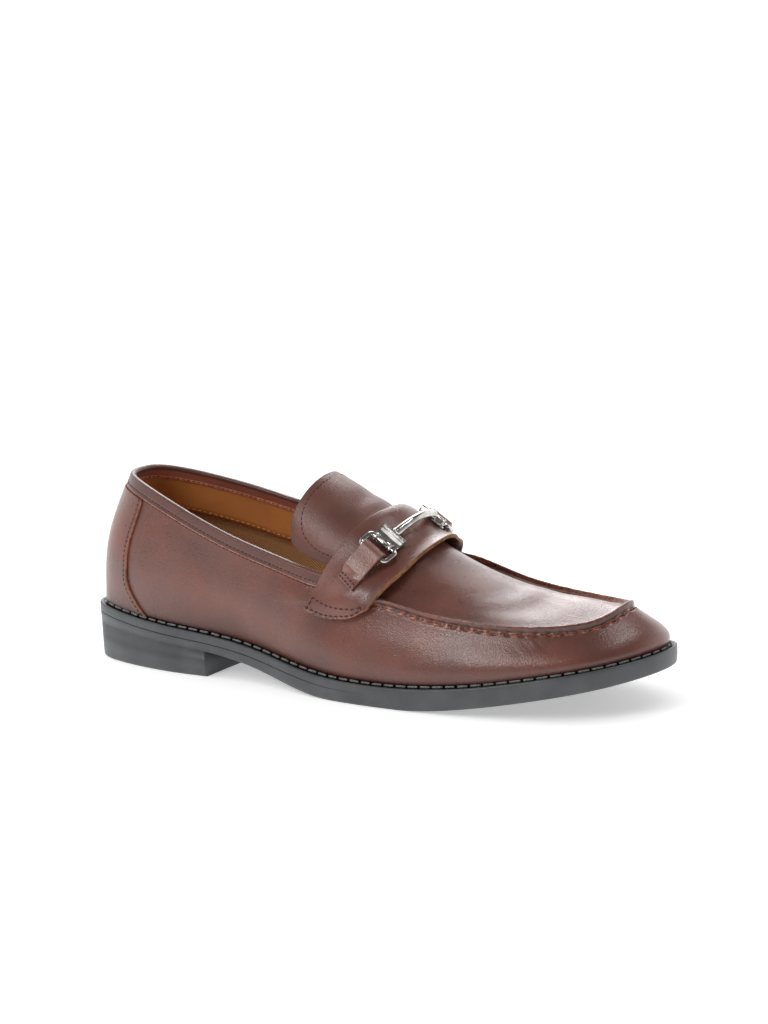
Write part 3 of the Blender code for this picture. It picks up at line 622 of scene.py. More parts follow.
def cut_edge(name, core, dye):
    """Cut leather edge: open fibres, tan where the dye has rubbed off."""
    worn = (3.0, 3, 0.35, 0.62)
    shine = (0.6, 3, 0.3, 0.7, 0.60, 0.85)
    return clouded(name, (dye, core), worn, shine, (0.12, 0.6, (0.6, 3, 1.0)))[0]


def lining_calf(name, tone, deep):
    """Undyed lining leather: smooth caramel, waxy, darker in soft clouds."""
    clouds = (22, 3, 0.3, 0.72)
    shine = (0.9, 2, 0.3, 0.7, 0.42, 0.55)
    return clouded(name, (deep, tone), clouds, shine, (0.06, 0.5, (0.9, 2, 1.0)))[0]


def ribbed_sock(name, thread, gap, turn):
    """Woven lining cloth: slanting ribs, about 1.1 mm apart, crossed by the weft."""
    made, tree, shader, place = blank(name, Sheen_Weight=0.2)
    turned = add_node(tree, "ShaderNodeMapping", {"Rotation": np.radians(turn)}, {"Vector": place})
    links = {"Vector": turned.outputs[0]}
    values = {"Scale": per_mm(1.1) * WAVE, "Distortion": 0.4, "Detail": 1.0}
    warp = add_node(tree, "ShaderNodeTexWave", values, links)
    values = {"Scale": per_mm(0.9) * WAVE, "Distortion": 0.3}
    weft = add_node(tree, "ShaderNodeTexWave", values, links, bands_direction="Z")
    links = {0: weft.outputs["Fac"], 2: warp.outputs["Fac"]}
    weave = add_node(tree, "ShaderNodeMath", {1: 0.35}, links, operation="MULTIPLY_ADD").outputs[0]
    shine = (weave, 0.0, 1.2, 0.80, 0.62)
    coloured(tree, shader, (gap, thread), (weave, 0.2, 1.1), shine, (weave, 0.22, 0.8))
    return made


def moulded_rubber(name, tone, dust):
    """Black moulded rubber: satin, faintly clouded, with the mould's fine matt grain."""
    clouds = (14, 4, 0.35, 0.75)
    shine = (0.7, 2, 0.3, 0.7, 0.33, 0.46)
    relief = (0.05, 0.5, (0.7, 2, 1.0), (5, 2, 0.5))
    made, tree, shader, place = clouded(name, (tone, dust), clouds, shine, relief)
    # Painted shade: darker in the welt's stitch channel and at the step beside the upper
    layered(tree, shader, place, [("burnish", None, None, "#0d0d0e")])
    return made


def plated_metal(name, tone, shade):
    """Gunmetal plating on cast zinc: mirror-like, slightly smoky, with faint handling haze."""
    haze = (4, 3, 0.35, 0.7)
    relief = (0.02, 0.4, (1.6, 2, 1.0))
    return clouded(name, (shade, tone), haze, haze + (0.07, 0.15), relief, Metallic=1.0)[0]


def twisted_thread(name, tone, deep):
    """Waxed polyester thread: matt, with the twist of its plies across it."""
    plies = (0.5, 2, 0.3, 0.7)
    return clouded(name, (deep, tone), plies, plies + (0.55, 0.75), (0.15, 0.7, (0.5, 2, 1.0)))[0]


def backdrop_paper(name):
    """Matt white backdrop paper on a lit table."""
    glow = {"Emission_Color": tint("#ffffff"), "Emission_Strength": FLOOR_GLOW}
    made, tree, shader, place = blank(name, Roughness=0.9, **glow)
    fibre = add_node(tree, "ShaderNodeTexNoise", {"Scale": per_mm(60), "Detail": 3.0}, {"Vector": place})
    values = {6: tint("#f3f3f2"), 7: tint("#f8f8f8")}
    colour = add_node(tree, "ShaderNodeMix", values, {0: fibre.outputs["Fac"]}, data_type="RGBA")
    tree.links.new(colour.outputs[2], shader.inputs["Base Color"])
    return made


# Brown of the shoe: tone, deep, warm and raw colour; roughness and coat of calf that is polished less
BROWN = ("#7b493d", "#5f372d", "#884531", "#93604f")
LESS_POLISH = (0.38, 0.15)

CALF = polished_calf("polished_brown_calf", *BROWN)
CALF_DARK = polished_calf("polished_dark_calf", "#6b4036", "#52302a", "#743c2d", "#6a3a28", *LESS_POLISH)
CALF_SOFT = polished_calf("soft_brown_calf", *BROWN, *LESS_POLISH)
# The tabs' calf is the strap's brown painted lighter and greyer: a painted highlight
CALF_TAB_PAINTED_HIGHLIGHT = polished_calf("tab_calf_painted_highlight", "#8a5b50", "#72483e", "#925745", "#93604f")
# Inside of the binding: red-brown calf, painted lighter than its outside to stand in for light inside the
# collar
CALF_INSIDE_PAINTED_LIGHT = polished_calf("red_brown_calf_painted_light", "#a0604c", "#83493a", "#ae5f42", "#93604f", *LESS_POLISH)
EDGE_TAN = cut_edge("tan_cut_edge", "#a06c3d", "#6e432a")
EDGE_PINK = cut_edge("dyed_cut_edge", "#b47a64", "#8a5644")
EDGE_RED = cut_edge("rust_cut_edge", "#e0957a", "#b86e54")
LINING = lining_calf("caramel_lining_calf", "#cc8344", "#b8743a")
SOCK = ribbed_sock("woven_sock_lining", "#c0884f", "#7a502d", (0, 0, 38))
LINING_CLOTH = ribbed_sock("woven_lining_cloth", "#c89056", "#835832", (0, 52, 0))
RUBBER = moulded_rubber("black_moulded_rubber", "#47484a", "#545658")
PLATED = plated_metal("gunmetal_plating", "#d0cdc9", "#a5a19c")
THREAD = twisted_thread("dark_brown_thread", "#4a261f", "#28130f")
THREAD_RED = twisted_thread("rust_thread", "#8f4a32", "#3f1a12")
THREAD_GREY = twisted_thread("grey_welt_thread", "#919390", "#35373a")
THREAD_TAN = twisted_thread("caramel_thread", "#e0ac6c", "#a46e3a")


# Building

def grid_faces(rows, columns, closed=False, ring_closed=False):
    """Faces of a grid of points; closed joins its last column to the first, ring_closed its rows."""
    r = np.arange(rows if ring_closed else rows - 1)[:, None]
    c = np.arange(columns if closed else columns - 1)[None, :]
    s = (r + 1) % rows
    d = (c + 1) % columns
    corners = [r * columns + c, r * columns + d, s * columns + d, s * columns + c]
    return np.stack([np.broadcast_to(k, (r.size, c.size)) for k in corners], -1).reshape(-1, 4)


def shut_faces(count, size):
    """Faces of a bar through loops of points, shut at both ends."""
    ends = [list(range(size)), list(range((count - 1) * size, count * size))]
    return grid_faces(count, size, True).tolist() + ends


def folded_faces(first, size):
    """Faces across a loop of points, from its first and last point inwards."""
    rungs = [(i, i + 1, size - 2 - i, size - 1 - i) for i in range((size - 1) // 2)]
    return [list(dict.fromkeys(first + i for i in rung)) for rung in rungs]


def mesh_of(name, points, faces, masks=None, looks=()):
    """Mesh moved to the row frame, with its looks and the shares that its material reads."""
    mesh = bpy.data.meshes.new(name)
    moved = np.asarray(points, float).reshape(-1, 3) - (MIDDLE, 0, 0)
    mesh.from_pydata(moved.tolist(), [], [list(map(int, f)) for f in faces])
    for mask, values in (masks or {}).items():
        layer = mesh.attributes.new(mask, "FLOAT", "POINT")
        layer.data.foreach_set("value", np.asarray(values, np.float32).ravel())
    for look in looks:
        mesh.materials.append(look)
    mesh.shade_smooth()
    return mesh


def in_scene(name, data):
    """New object in the scene."""
    body = bpy.data.objects.new(name, data)
    bpy.context.scene.collection.objects.link(body)
    return body


def plain_mesh(body):
    """The object's mesh after its modifiers; the object itself goes."""
    graph = bpy.context.evaluated_depsgraph_get()
    mesh = bpy.data.meshes.new_from_object(body.evaluated_get(graph), depsgraph=graph)
    bpy.data.objects.remove(body)
    return mesh


def placed(name, mesh, looks, slot, *nodes):
    """Finished piece riding on the shoe, for the solids that it stands for."""
    if looks:
        mesh.materials.clear()
        for look in looks:
            mesh.materials.append(look)
    mesh.name = name
    body = in_scene(name, mesh)
    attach(body, "root")
    if nodes:
        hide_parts(*nodes)
    return body


def finished(mesh, modifiers):
    """Mesh with modifiers applied: each is a type and its settings."""
    body = in_scene("work", mesh)
    for kind, settings in modifiers:
        modifier = body.modifiers.new(kind.lower(), kind)
        for name, value in settings.items():
            setattr(modifier, name, value)
    made = plain_mesh(body)
    made.shade_smooth()
    return made


def rounded_edges(width, segments=3, angle=50):
    """Bevel for edges sharper than that angle in degrees."""
    settings = {"width": width, "segments": segments, "limit_method": "ANGLE"}
    return "BEVEL", dict(settings, angle_limit=math.radians(angle))


def leather_sheet(name, grid, thick, looks, slot, masks, bevel=0.00035):
    """Leather behind a grid of rows on its outside: outside, cut edge and back have their own look."""
    mesh = mesh_of(name, grid, grid_faces(*grid.shape[:2]), masks, looks)
    wall = {"thickness": thick, "offset": -1, "material_offset_rim": 1, "material_offset": 2}
    made = finished(mesh, [("SOLIDIFY", wall), rounded_edges(bevel)])
    return placed(name, made, None, slot, slot)


def plate(rings):
    """Points and faces of a solid between stacked rings of the sole's outline, ends closed across."""
    count, size = rings.shape[:2]
    faces = grid_faces(count, size, True).tolist()
    for first in (0, (count - 1) * size):
        faces.append([first, first + 1, first + size - 1])
        for i in range(1, size // 2):
            corners = [first + i, first + i + 1, first + size - i - 1, first + size - i]
            faces.append(list(dict.fromkeys(corners)))
    return rings.reshape(-1, 3), faces


def outward_faces(mesh):
    """Closed mesh with its doubles merged and its faces pointing out."""
    form = bmesh.new()
    form.from_mesh(mesh)
    bmesh.ops.remove_doubles(form, verts=form.verts, dist=1e-7)
    bmesh.ops.recalc_face_normals(form, faces=form.faces)
    if form.calc_volume(signed=True) < 0:
        bmesh.ops.reverse_faces(form, faces=form.faces)
    form.to_mesh(mesh)
    form.free()
    mesh.shade_smooth()
    return mesh


def surface_of(grid):
    """Point and outward normal at a share down and across a grid of points."""
    down = np.gradient(grid, axis=0)
    over = np.gradient(grid, axis=1)
    normals = unit(np.cross(over, down))

    def at(row_part, column_part):
        r = np.clip(np.asarray(row_part, float), 0, 1) * (grid.shape[0] - 1)
        c = np.clip(np.asarray(column_part, float), 0, 1) * (grid.shape[1] - 1)
        r0 = np.minimum(r.astype(int), grid.shape[0] - 2)
        c0 = np.minimum(c.astype(int), grid.shape[1] - 2)
        fr, fc = (r - r0)[..., None], (c - c0)[..., None]

        def mixed(field):
            top = field[r0, c0] * (1 - fc) + field[r0, c0 + 1] * fc
            low = field[r0 + 1, c0] * (1 - fc) + field[r0 + 1, c0 + 1] * fc
            return top * (1 - fr) + low * fr

        return mixed(grid), unit(mixed(normals))

    return at


def lifted(points, normals):
    """Points of a line with the directions off the leather's outside, for an open row of stitches."""
    away = points - HEART
    return points, normals * np.sign(np.sum(normals * away, -1, keepdims=True)), False


def stitch_tree():
    """Node tree that lays thread along a line whose points know which way is off the leather."""
    tree = bpy.data.node_groups.new("stitch_row", "GeometryNodeTree")
    kinds = {"Geometry": "NodeSocketGeometry", "Material": "NodeSocketMaterial"}
    sockets = {}
    for name in ("Geometry", "Pitch", "Length", "Width", "Height", "Uneven", "Material"):
        kind = kinds.get(name, "NodeSocketFloat")
        sockets[name] = tree.interface.new_socket(name, in_out="INPUT", socket_type=kind).identifier
    tree.interface.new_socket("Geometry", in_out="OUTPUT", socket_type="NodeSocketGeometry")
    given = add_node(tree, "NodeGroupInput").outputs
    line = add_node(tree, "GeometryNodeMeshToCurve", None, {"Mesh": given["Geometry"]})
    links = {"Curve": line.outputs["Curve"], "Length": given["Pitch"]}
    spots = add_node(tree, "GeometryNodeResampleCurve", None, links, mode="LENGTH")
    run = add_node(tree, "GeometryNodeInputTangent").outputs["Tangent"]
    off = add_node(tree, "GeometryNodeInputNamedAttribute", {"Name": "off"}, data_type="FLOAT_VECTOR")
    lie = add_node(tree, "FunctionNodeAlignRotationToVector", None, {"Vector": run}, axis="X")
    links = {"Rotation": lie.outputs[0], "Vector": off.outputs[0]}
    stand = add_node(tree, "FunctionNodeAlignRotationToVector", None, links, axis="Z", pivot_axis="X")
    # One stitch: a bar with rounded ends
    block = add_node(tree, "GeometryNodeMeshCube", {"Vertices X": 4})
    links = {"Mesh": block.outputs["Mesh"]}
    stitch = add_node(tree, "GeometryNodeSubdivisionSurface", {"Level": 1}, links)
    # Each stitch is a little longer or shorter, wider or thinner, and askew
    low = add_node(tree, "ShaderNodeMath", {0: 1.0}, {1: given["Uneven"]}, operation="SUBTRACT")
    high = add_node(tree, "ShaderNodeMath", {0: 1.0}, {1: given["Uneven"]}, operation="ADD")
    links = {0: low.outputs[0], 1: high.outputs[0]}
    vary = add_node(tree, "FunctionNodeRandomValue", {"Seed": 3}, links, data_type="FLOAT_VECTOR")
    links = {"X": given["Length"], "Y": given["Width"], "Z": given["Height"]}
    size = add_node(tree, "ShaderNodeCombineXYZ", None, links)
    links = {0: size.outputs[0], 1: vary.outputs[0]}
    scale = add_node(tree, "ShaderNodeVectorMath", None, links, operation="MULTIPLY")
    back = add_node(tree, "ShaderNodeMath", {1: -1.0}, {0: given["Uneven"]}, operation="MULTIPLY")
    links = {2: back.outputs[0], 3: given["Uneven"]}
    askew = add_node(tree, "FunctionNodeRandomValue", {"Seed": 8}, links, data_type="FLOAT")
    angle = add_node(tree, "ShaderNodeCombineXYZ", None, {"Z": askew.outputs[1]})
    spin = add_node(tree, "FunctionNodeEulerToRotation", None, {0: angle.outputs[0]})
    links = {0: stand.outputs[0], 1: spin.outputs[0]}
    lay = add_node(tree, "FunctionNodeRotateRotation", None, links, rotation_space="LOCAL")
    links = {
        "Points": spots.outputs["Curve"],
        "Instance": stitch.outputs["Mesh"],
        "Rotation": lay.outputs[0],
        "Scale": scale.outputs[0],
    }
    laid = add_node(tree, "GeometryNodeInstanceOnPoints", None, links)
    real = add_node(tree, "GeometryNodeRealizeInstances", None, {"Geometry": laid.outputs["Instances"]})
    links = {"Geometry": real.outputs["Geometry"], "Material": given["Material"]}
    coloured = add_node(tree, "GeometryNodeSetMaterial", None, links)
    add_node(tree, "NodeGroupOutput", None, {"Geometry": coloured.outputs["Geometry"]})
    return tree, sockets


STITCHES, STITCH_INPUTS = stitch_tree()


def sewn(name, lines, look, slot):
    """Stitches along lines; each line has its points, the directions off the leather and if it closes."""
    points, offs, edges = [], [], []
    for line, off, closed in lines:
        first = len(points)
        points += list(np.asarray(line))
        offs += list(np.broadcast_to(off, np.shape(line)))
        count = len(line)
        edges += [(first + i, first + (i + 1) % count) for i in range(count if closed else count - 1)]
    mesh = bpy.data.meshes.new(name)
    moved = np.array(points) - (MIDDLE, 0, 0)
    mesh.from_pydata(moved.tolist(), edges, [])
    layer = mesh.attributes.new("off", "FLOAT_VECTOR", "POINT")
    layer.data.foreach_set("vector", np.array(offs, np.float32).ravel())
    guide = in_scene(name + "_line", mesh)
    modifier = guide.modifiers.new("stitches", "NODES")
    modifier.node_group = STITCHES
    for socket, value in zip(("Pitch", "Length", "Width", "Height", "Uneven"), STITCH_SIZES[name]):
        modifier[STITCH_INPUTS[socket]] = value
    modifier[STITCH_INPUTS["Material"]] = look
    made = plain_mesh(guide)
    made.shade_smooth()
    return placed(name, made, [look], slot)


# Sole

def sole():
    """Welt with its stitch channel, outsole under it, heel block."""
    around = stations(420)
    # reach inside the sole's edge and height over the welt's top face, in mm: down the welt's side
    welt_section = [
        (SOLE_CORE, -0.1),
        (4.6, -0.1),
        (4.3, -0.65),
        (2.3, -0.65),
        (2.0, -0.55),
        (1.75, -0.35),
        (1.35, -0.16),
        (0.85, -0.14),
        (0.4, -0.26),
        (0.12, -0.52),
        (0.0, -0.95),
        (0.0, -3.6),
    ]
    # The groove between welt and outsole closes towards the toe
    groove = ease(edge(around)[:, 0], 0.185, 0.115)
    rings = [inset(around, reach * MM, lift * MM) for reach, lift in welt_section]
    split, rounding = SOLE_JOINT * MM, (0.08 + 0.92 * groove) * MM
    for reach, up in ((0.0, 0.55), (0.06, 0.25), (0.2, 0.07), (0.45, 0.0)):
        rings.append(inset(around, reach * groove * MM, split + up * rounding))
    rings.append(inset(around, SOLE_CORE * MM, split))
    # Painted shade over the stitch channel and the step beside the upper
    channel = [float(1.5 < reach < SOLE_CORE) for reach, lift in welt_section] + [0.0] * 5
    masks = {"burnish": np.outer(channel, np.ones(len(around)))}
    mesh = mesh_of("welt_rubber", *plate(np.array(rings)), masks)
    placed("welt_rubber", outward_faces(mesh), [RUBBER], "welt", "welt")

    # Under the heel the outsole's side runs straight on into the heel block
    free = ease(edge(around)[:, 0], HEEL_BREAST - 0.0005, HEEL_BREAST + 0.0005)
    split = split - SOLE_GROOVE * MM * groove
    rings = [inset(around, SOLE_CORE * MM, split)]
    for reach, down in ((0.45, 0.0), (0.2, 0.07), (0.06, 0.25), (0.0, 0.55)):
        rings.append(inset(around, reach * groove * MM, split - down * rounding))
    for reach, lift in ((0.2, 1.7), (0.35, 0.9), (0.65, 0.35), (1.2, 0.0)):
        rings.append(inset(around, (0.3 + (reach - 0.3) * free) * MM, lift * MM * free, 1.0))
    rings.append(inset(around, SOLE_CORE * MM, 0.0, 1.0))
    mesh = mesh_of("outsole_rubber", *plate(np.array(rings)))
    placed("outsole_rubber", outward_faces(mesh), [RUBBER], "outsole", "outsole")

    # Turns from the back of the heel to where the sole's edge meets the breast, found by closing in on it
    half = np.linspace(0, 0.17, 120)
    for attempt in range(20):
        half *= (HEEL_BREAST / edge(half[-1:])[0, 0])**0.5
    inner = half * HEEL_BREAST / edge(-half[-1:])[0, 0]
    turns = np.concatenate([inner[::-1] * -1, half[1:]])
    # reach inside the sole's edge, height in mm, whether that is over the outsole's lower face
    heel_section = [
        (SOLE_CORE, 0.0, True),
        (0.3, 0.0, True),
        (0.55, 5.0, False),
        (0.75, 1.3, False),
        (1.0, 0.5, False),
        (1.6, 0.0, False),
        (SOLE_CORE, 0.0, False),
    ]
    rows = []
    for reach, lift, follows in heel_section:
        row = inset(turns, reach * MM, lift * MM, 1.0)
        row[[0, -1], 0] = HEEL_BREAST
        if not follows:
            row[:, 2] = lift * MM
        rows.append(row)
    rows = np.array(rows)
    count, size = rows.shape[:2]
    faces = grid_faces(count, size).tolist()
    for first in (0, (count - 1) * size):
        faces += folded_faces(first, size)
    faces += [[r * size, (r + 1) * size, (r + 2) * size - 1, (r + 1) * size - 1] for r in range(count - 1)]
    mesh = outward_faces(mesh_of("heel_rubber", rows, faces))
    placed("heel_rubber", mesh, [RUBBER], "heel", "heel")

    line = inset(around, WELT_STITCH * MM, 0.35 * MM)
    sewn("welt_stitches", [(line, UP, True)], THREAD_GREY, "welt")


def insole():
    """Sock lining on the insole, slightly hollow along the middle."""
    turns = stations(240)
    reach = WELT_REACH + WALL + INSOLE_CLEAR
    rim = inset(turns, reach, GAP + INSOLE_THICK)
    low = inset(turns, reach, GAP)
    half = len(turns) // 2
    outer = rim[1:half]
    inner = rim[:half:-1]
    share = np.linspace(0, 1, 41)[None, :, None]
    top = outer[:, None] * (1 - share) + inner[:, None] * share
    dish = 0.0010 * np.sin(np.pi * share[..., 0])
    top[..., 2] -= dish
    under = top.copy()
    under[..., 2] = (low[1:half][:, None] * (1 - share) + low[:half:-1][:, None] * share)[..., 2]
    rows, columns = top.shape[:2]
    faces = grid_faces(rows, columns)
    count = rows * columns
    border = list(range(columns))
    border += [r * columns + columns - 1 for r in range(1, rows)]
    border += [(rows - 1) * columns + c for c in range(columns - 2, -1, -1)]
    border += [r * columns for r in range(rows - 2, 0, -1)]
    sides = [[a, b, b + count, a + count] for a, b in zip(border, border[1:] + border[:1])]
    points = np.concatenate([top.reshape(-1, 3), under.reshape(-1, 3)])
    mesh = mesh_of("sock_lining", points, faces.tolist() + (faces + count).tolist() + sides)
    placed("sock_lining", outward_faces(mesh), [SOCK], "insole", "insole")


# Upper

def crease_depth(points):
    """How far the creases move each point out, in metres."""
    moved = np.zeros(points.shape[:-1])
    for turn_a, rise_a, turn_b, rise_b, half, depth in CREASES:
        part = np.linspace(0, 1, 25)
        line = skin(turn_a + (turn_b - turn_a) * part, rise_a + (rise_b - rise_a) * part)
        best = np.full(points.shape[:-1], 1.0)
        fade = np.zeros(points.shape[:-1])
        for spot, at in zip(line, part):
            away = np.linalg.norm(points - spot, axis=-1)
            closer = away < best
            best = np.where(closer, away, best)
            fade = np.where(closer, math.sin(math.pi * (0.04 + 0.92 * at)), fade)
        moved -= depth * MM * fade * np.exp(-(best / (half * MM))**2)
    return moved


def upper():
    """Vamp, apron and quarters as one wall: turned apron edge, creases, lining inside."""
    behind = np.linspace(0, APRON_TURNS[0], 170, endpoint=False)
    ahead = np.linspace(*APRON_TURNS, 520, endpoint=False)
    turns = np.concatenate([behind, ahead, behind + APRON_TURNS[1]])
    wall_length, apron_length = span(turns, 0), span(turns, 1)
    band = np.arange(-4.5, 6.1, 0.25) * MM
    low_end = 1 + band[0] / wall_length
    high_start = 1 + band[-1] / apron_length
    levels = [low_end * part for part in np.linspace(0, 1, 23)[:-1]]
    levels += [1 + distance / (wall_length if distance < 0 else apron_length) for distance in band]
    levels += [high_start + (2 - high_start) * part for part in np.linspace(0, 1, 30)[1:]]
    levels = np.array(levels)
    outside = skin(turns, levels)
    normals = skin_normal(turns, levels)
    front = ease(np.abs(turns - 0.5), 0.225, 0.185)
    distance = np.where(levels < 1, (levels - 1) * wall_length, (levels - 1) * apron_length) / MM
    relief = np.array(SEAM_RELIEF)
    lift = np.interp(distance, relief[:, 0], relief[:, 1])
    # The sewing pulls the leather under the turned edge into gathers
    gather = ease(distance, -2.9, -1.9) * ease(distance, 0.1, -0.25)
    run = run_along(skin(turns, 1.0)) / MM
    pull = np.sin(2 * np.pi * run / GATHER_PITCH + 0.8 * np.sin(run / 9.0))
    lift = lift + gather * GATHER_DEPTH * pull
    # The turned edge itself is a little ragged
    ragged = 0.05 * np.sin(run / 0.9 + 2 * np.sin(run / 5.3)) + 0.04 * np.sin(run / 2.1)
    lift = lift + ragged * ease(distance, 0.3, 0.8) * ease(distance, 2.4, 1.8)
    outside = outside + normals * (lift * front * MM + crease_depth(outside))[..., None]

    # Raw cut of the turned edge; painted shade in the groove, along the sole line and over the low wall;
    # rust in the gathers and behind the edge
    face = ease(distance, -0.2, 0.1) * ease(distance, 1.0, 0.6)
    crest = ease(distance, 0.5, 0.8) * ease(distance, 1.5, 1.1)
    turned_edge = front * np.maximum(0.25 * face, 0.5 * crest)
    sole_line = ease(levels * wall_length / MM, 2.4, 0.2)
    groove = front * ease(distance, -0.9, -0.4) * ease(distance, 0.1, -0.15)
    low_wall = ease(levels * wall_length / MM, 17.0, 0.0)
    burnish = np.clip(0.85 * groove + 0.50 * sole_line + (0.36 - 0.16 * front) * low_wall, 0, 1)
    rust = front * ease(distance, -2.7, -1.9) * ease(distance, -0.4, -0.8) * (0.66 + 0.34 * pull)
    rust += 0.7 * front * ease(distance, 1.3, 1.6) * ease(distance, 2.7, 2.2)

    # Inside: leather down to a sewn edge, woven cloth below it
    at_throat = ease(np.abs(turns - 0.5), 0.235, 0.19)
    depth = LINING_DEPTH - (LINING_DEPTH - LINING_THROAT) * at_throat
    split = 2 - depth / apron_length
    leather_rows, cloth_rows = 7, 11
    inner_levels = [2 - (2 - split) * part for part in np.linspace(0, 1, leather_rows)]
    inner_levels += [split * part for part in np.linspace(1, 0, cloth_rows)]
    inner_levels = np.array(inner_levels)
    inner_wall = np.array([WALL] * leather_rows + [WALL - CLOTH_STEP] * cloth_rows)[:, None, None]
    inside = skin(turns, inner_levels) - skin_normal(turns, inner_levels) * inner_wall
    points = np.concatenate([outside, inside])
    none = np.zeros(inside.shape[:2])
    masks = {
        "burnish": np.concatenate([burnish, none]),
        "raw": np.concatenate([turned_edge, none]),
        "rust": np.concatenate([rust, none]),
    }
    faces = grid_faces(len(points), len(turns), True, True)
    mesh = mesh_of("upper_leather", points, faces, masks, (CALF, LINING, LINING_CLOTH))
    looks = np.zeros(len(points), np.int32)
    looks[len(outside):] = 1
    looks[len(outside) + leather_rows:] = 2
    mesh.polygons.foreach_set("material_index", np.repeat(looks, len(turns)))
    placed("upper_leather", mesh, None, "upper", "upper")

    front_turns = np.linspace(*APRON_TURNS, 700)
    below = 1 - 1.35 * MM / span(front_turns, 0)
    normal = skin_normal(front_turns, below)
    line = skin(front_turns, below) - normal * 0.30 * MM
    sewn("apron_stitches", [(line, normal, False)], THREAD_RED, "upper")

    rear = (turns < 0.262) | (turns > 0.738)
    order = np.argsort(np.where(turns[rear] > 0.5, turns[rear] - 1, turns[rear]))
    rear_turns = turns[rear][order]
    level = split[rear][order] + 1.6 * MM / apron_length[rear][order]
    inward = -skin_normal(rear_turns, level)
    line = skin(rear_turns, level) + inward * (WALL + 0.1 * MM)
    sewn("lining_stitches", [(line, inward, False)], THREAD_TAN, "upper")


def collar_binding():
    """Folded binding over the rim: stitched near its cut edge outside, pinked cut edge inside."""
    rim = np.linspace(-0.285, 0.285, 760)
    length = span(rim, 1)
    near, far = 0.10 * MM, OVERLAY_GAP + BINDING_THICK - 0.25 * MM
    climb = unit(skin(rim, 2.0) - skin(rim, 1.9))
    teeth = np.mod(run_along(skin(rim, 2.0)) / PINKING_PITCH, 1)
    pinking = PINKING_DEPTH * np.abs(2 * teeth - 1)

    def beside(depth, off, above=0.0):
        rise = 2 - depth / length
        return skin(rim, rise) + skin_normal(rim, rise) * off + climb * above

    # The section goes up the outside, over the rim and down the inside; looks are numbered as in the mesh
    section, looks = [], []

    def put(point, look):
        section.append(point)
        looks.append(look)

    put(beside(BINDING_DEPTH, near), 1)
    put(beside(BINDING_DEPTH, far - 0.20 * MM), 1)
    put(beside(BINDING_DEPTH - 0.12 * MM, far - 0.05 * MM), 1)
    put(beside(BINDING_DEPTH - 0.55 * MM, far), 0)
    for depth in (4.6, 4.05, BINDING_STITCH, 3.45, 2.9, 1.9, 0.9):
        pressed = 0.22 * MM * math.exp(-((depth - BINDING_STITCH) / 0.35)**2)
        put(beside(depth * MM, far - pressed), 0)
    for angle in np.radians(np.linspace(0, 180, 11)):
        off = -WALL / 2 + (WALL / 2 + far) * math.cos(angle)
        put(beside(0.0, off, (far + 0.45 * MM) * math.sin(angle)), 0)
    for depth in (1.0, 2.0, 3.0):
        put(beside(depth * MM, -WALL - far), 3)
    put(beside(4.0 * MM, -WALL - far), 2)
    put(beside(4.9 * MM + pinking, -WALL - far), 2)
    put(beside(5.5 * MM + pinking, -WALL - far + 0.2 * MM), 2)
    put(beside(5.6 * MM + pinking, -WALL - near), 0)
    put(beside(3.0 * MM, -WALL - near), 0)
    put(beside(0.0, -WALL - near, near), 0)
    put(beside(0.0, near, near), 0)
    put(beside(3.0 * MM, near), 0)
    points = np.swapaxes(np.array(section), 0, 1)
    faces = shut_faces(*points.shape[:2])
    # The fold's inside band takes the red-brown calf painted lighter for light inside the collar
    finishes = (CALF_DARK, EDGE_PINK, EDGE_RED, CALF_INSIDE_PAINTED_LIGHT)
    mesh = mesh_of("collar_binding_leather", points, faces, None, finishes)
    mesh.polygons.foreach_set("material_index", looks * (len(points) - 1) + [0, 0])
    placed("collar_binding_leather", outward_faces(mesh), None, "collar_binding", "collar_binding")

    # depth below the rim in mm, distance off the upper's outside, side: two rows outside, one inside
    seams = ((BINDING_STITCH, far - 0.15 * MM, 1), (6.25, 0.1 * MM, 1), (4.6, -WALL - far, -1))
    rows = []
    for depth, off, side in seams:
        normal = skin_normal(rim, 2 - depth * MM / length)
        rows.append((beside(depth * MM, off), normal * side, False))
    sewn("binding_stitches", rows[:2], THREAD, "collar_binding")
    sewn("binding_inner_stitches", rows[2:], THREAD_RED, "collar_binding")


def back_counter():
    """Counter over the back of the quarters, with its cut front edges."""
    rows = []
    rises = np.linspace(0.0, 2.0, 90)
    for rise in rises:
        reach = COUNTER_REACH + COUNTER_SPREAD * max(0.0, 1 - rise / 0.75)**2
        reach -= COUNTER_DRAW * max(0.0, rise - 1)**2
        columns = np.linspace(-reach, reach, 170)
        low_stop = 2 * GAP / span(columns, 0)
        high_stop = (BINDING_DEPTH + 2 * GAP) / span(columns, 1)
        levels = low_stop + (2 - high_stop - low_stop) * rise / 2
        off = OVERLAY_GAP + COUNTER_THICK
        rows.append(skin(columns, levels) + skin_normal(columns, levels) * off)
    grid = np.array(rows)
    # Painted shade, darker towards the sole
    low = 0.45 * ease(rises, 0.09, 0.0) + 0.38 * ease(rises, 0.6, 0.0)
    masks = {"burnish": low[:, None] * np.ones(grid.shape[1])}
    # Thick enough to close the gap to the upper
    thick = COUNTER_THICK + 0.25 * MM
    looks = (CALF, EDGE_PINK, CALF)
    leather_sheet("back_counter_leather", grid, thick, looks, "back_counter", masks)
    at = surface_of(grid)
    down = np.linspace(0.01, 0.99, 200)
    lines = [lifted(*at(down, np.full_like(down, side))) for side in (0.016, 0.984)]
    sewn("counter_stitches", lines, THREAD, "back_counter")


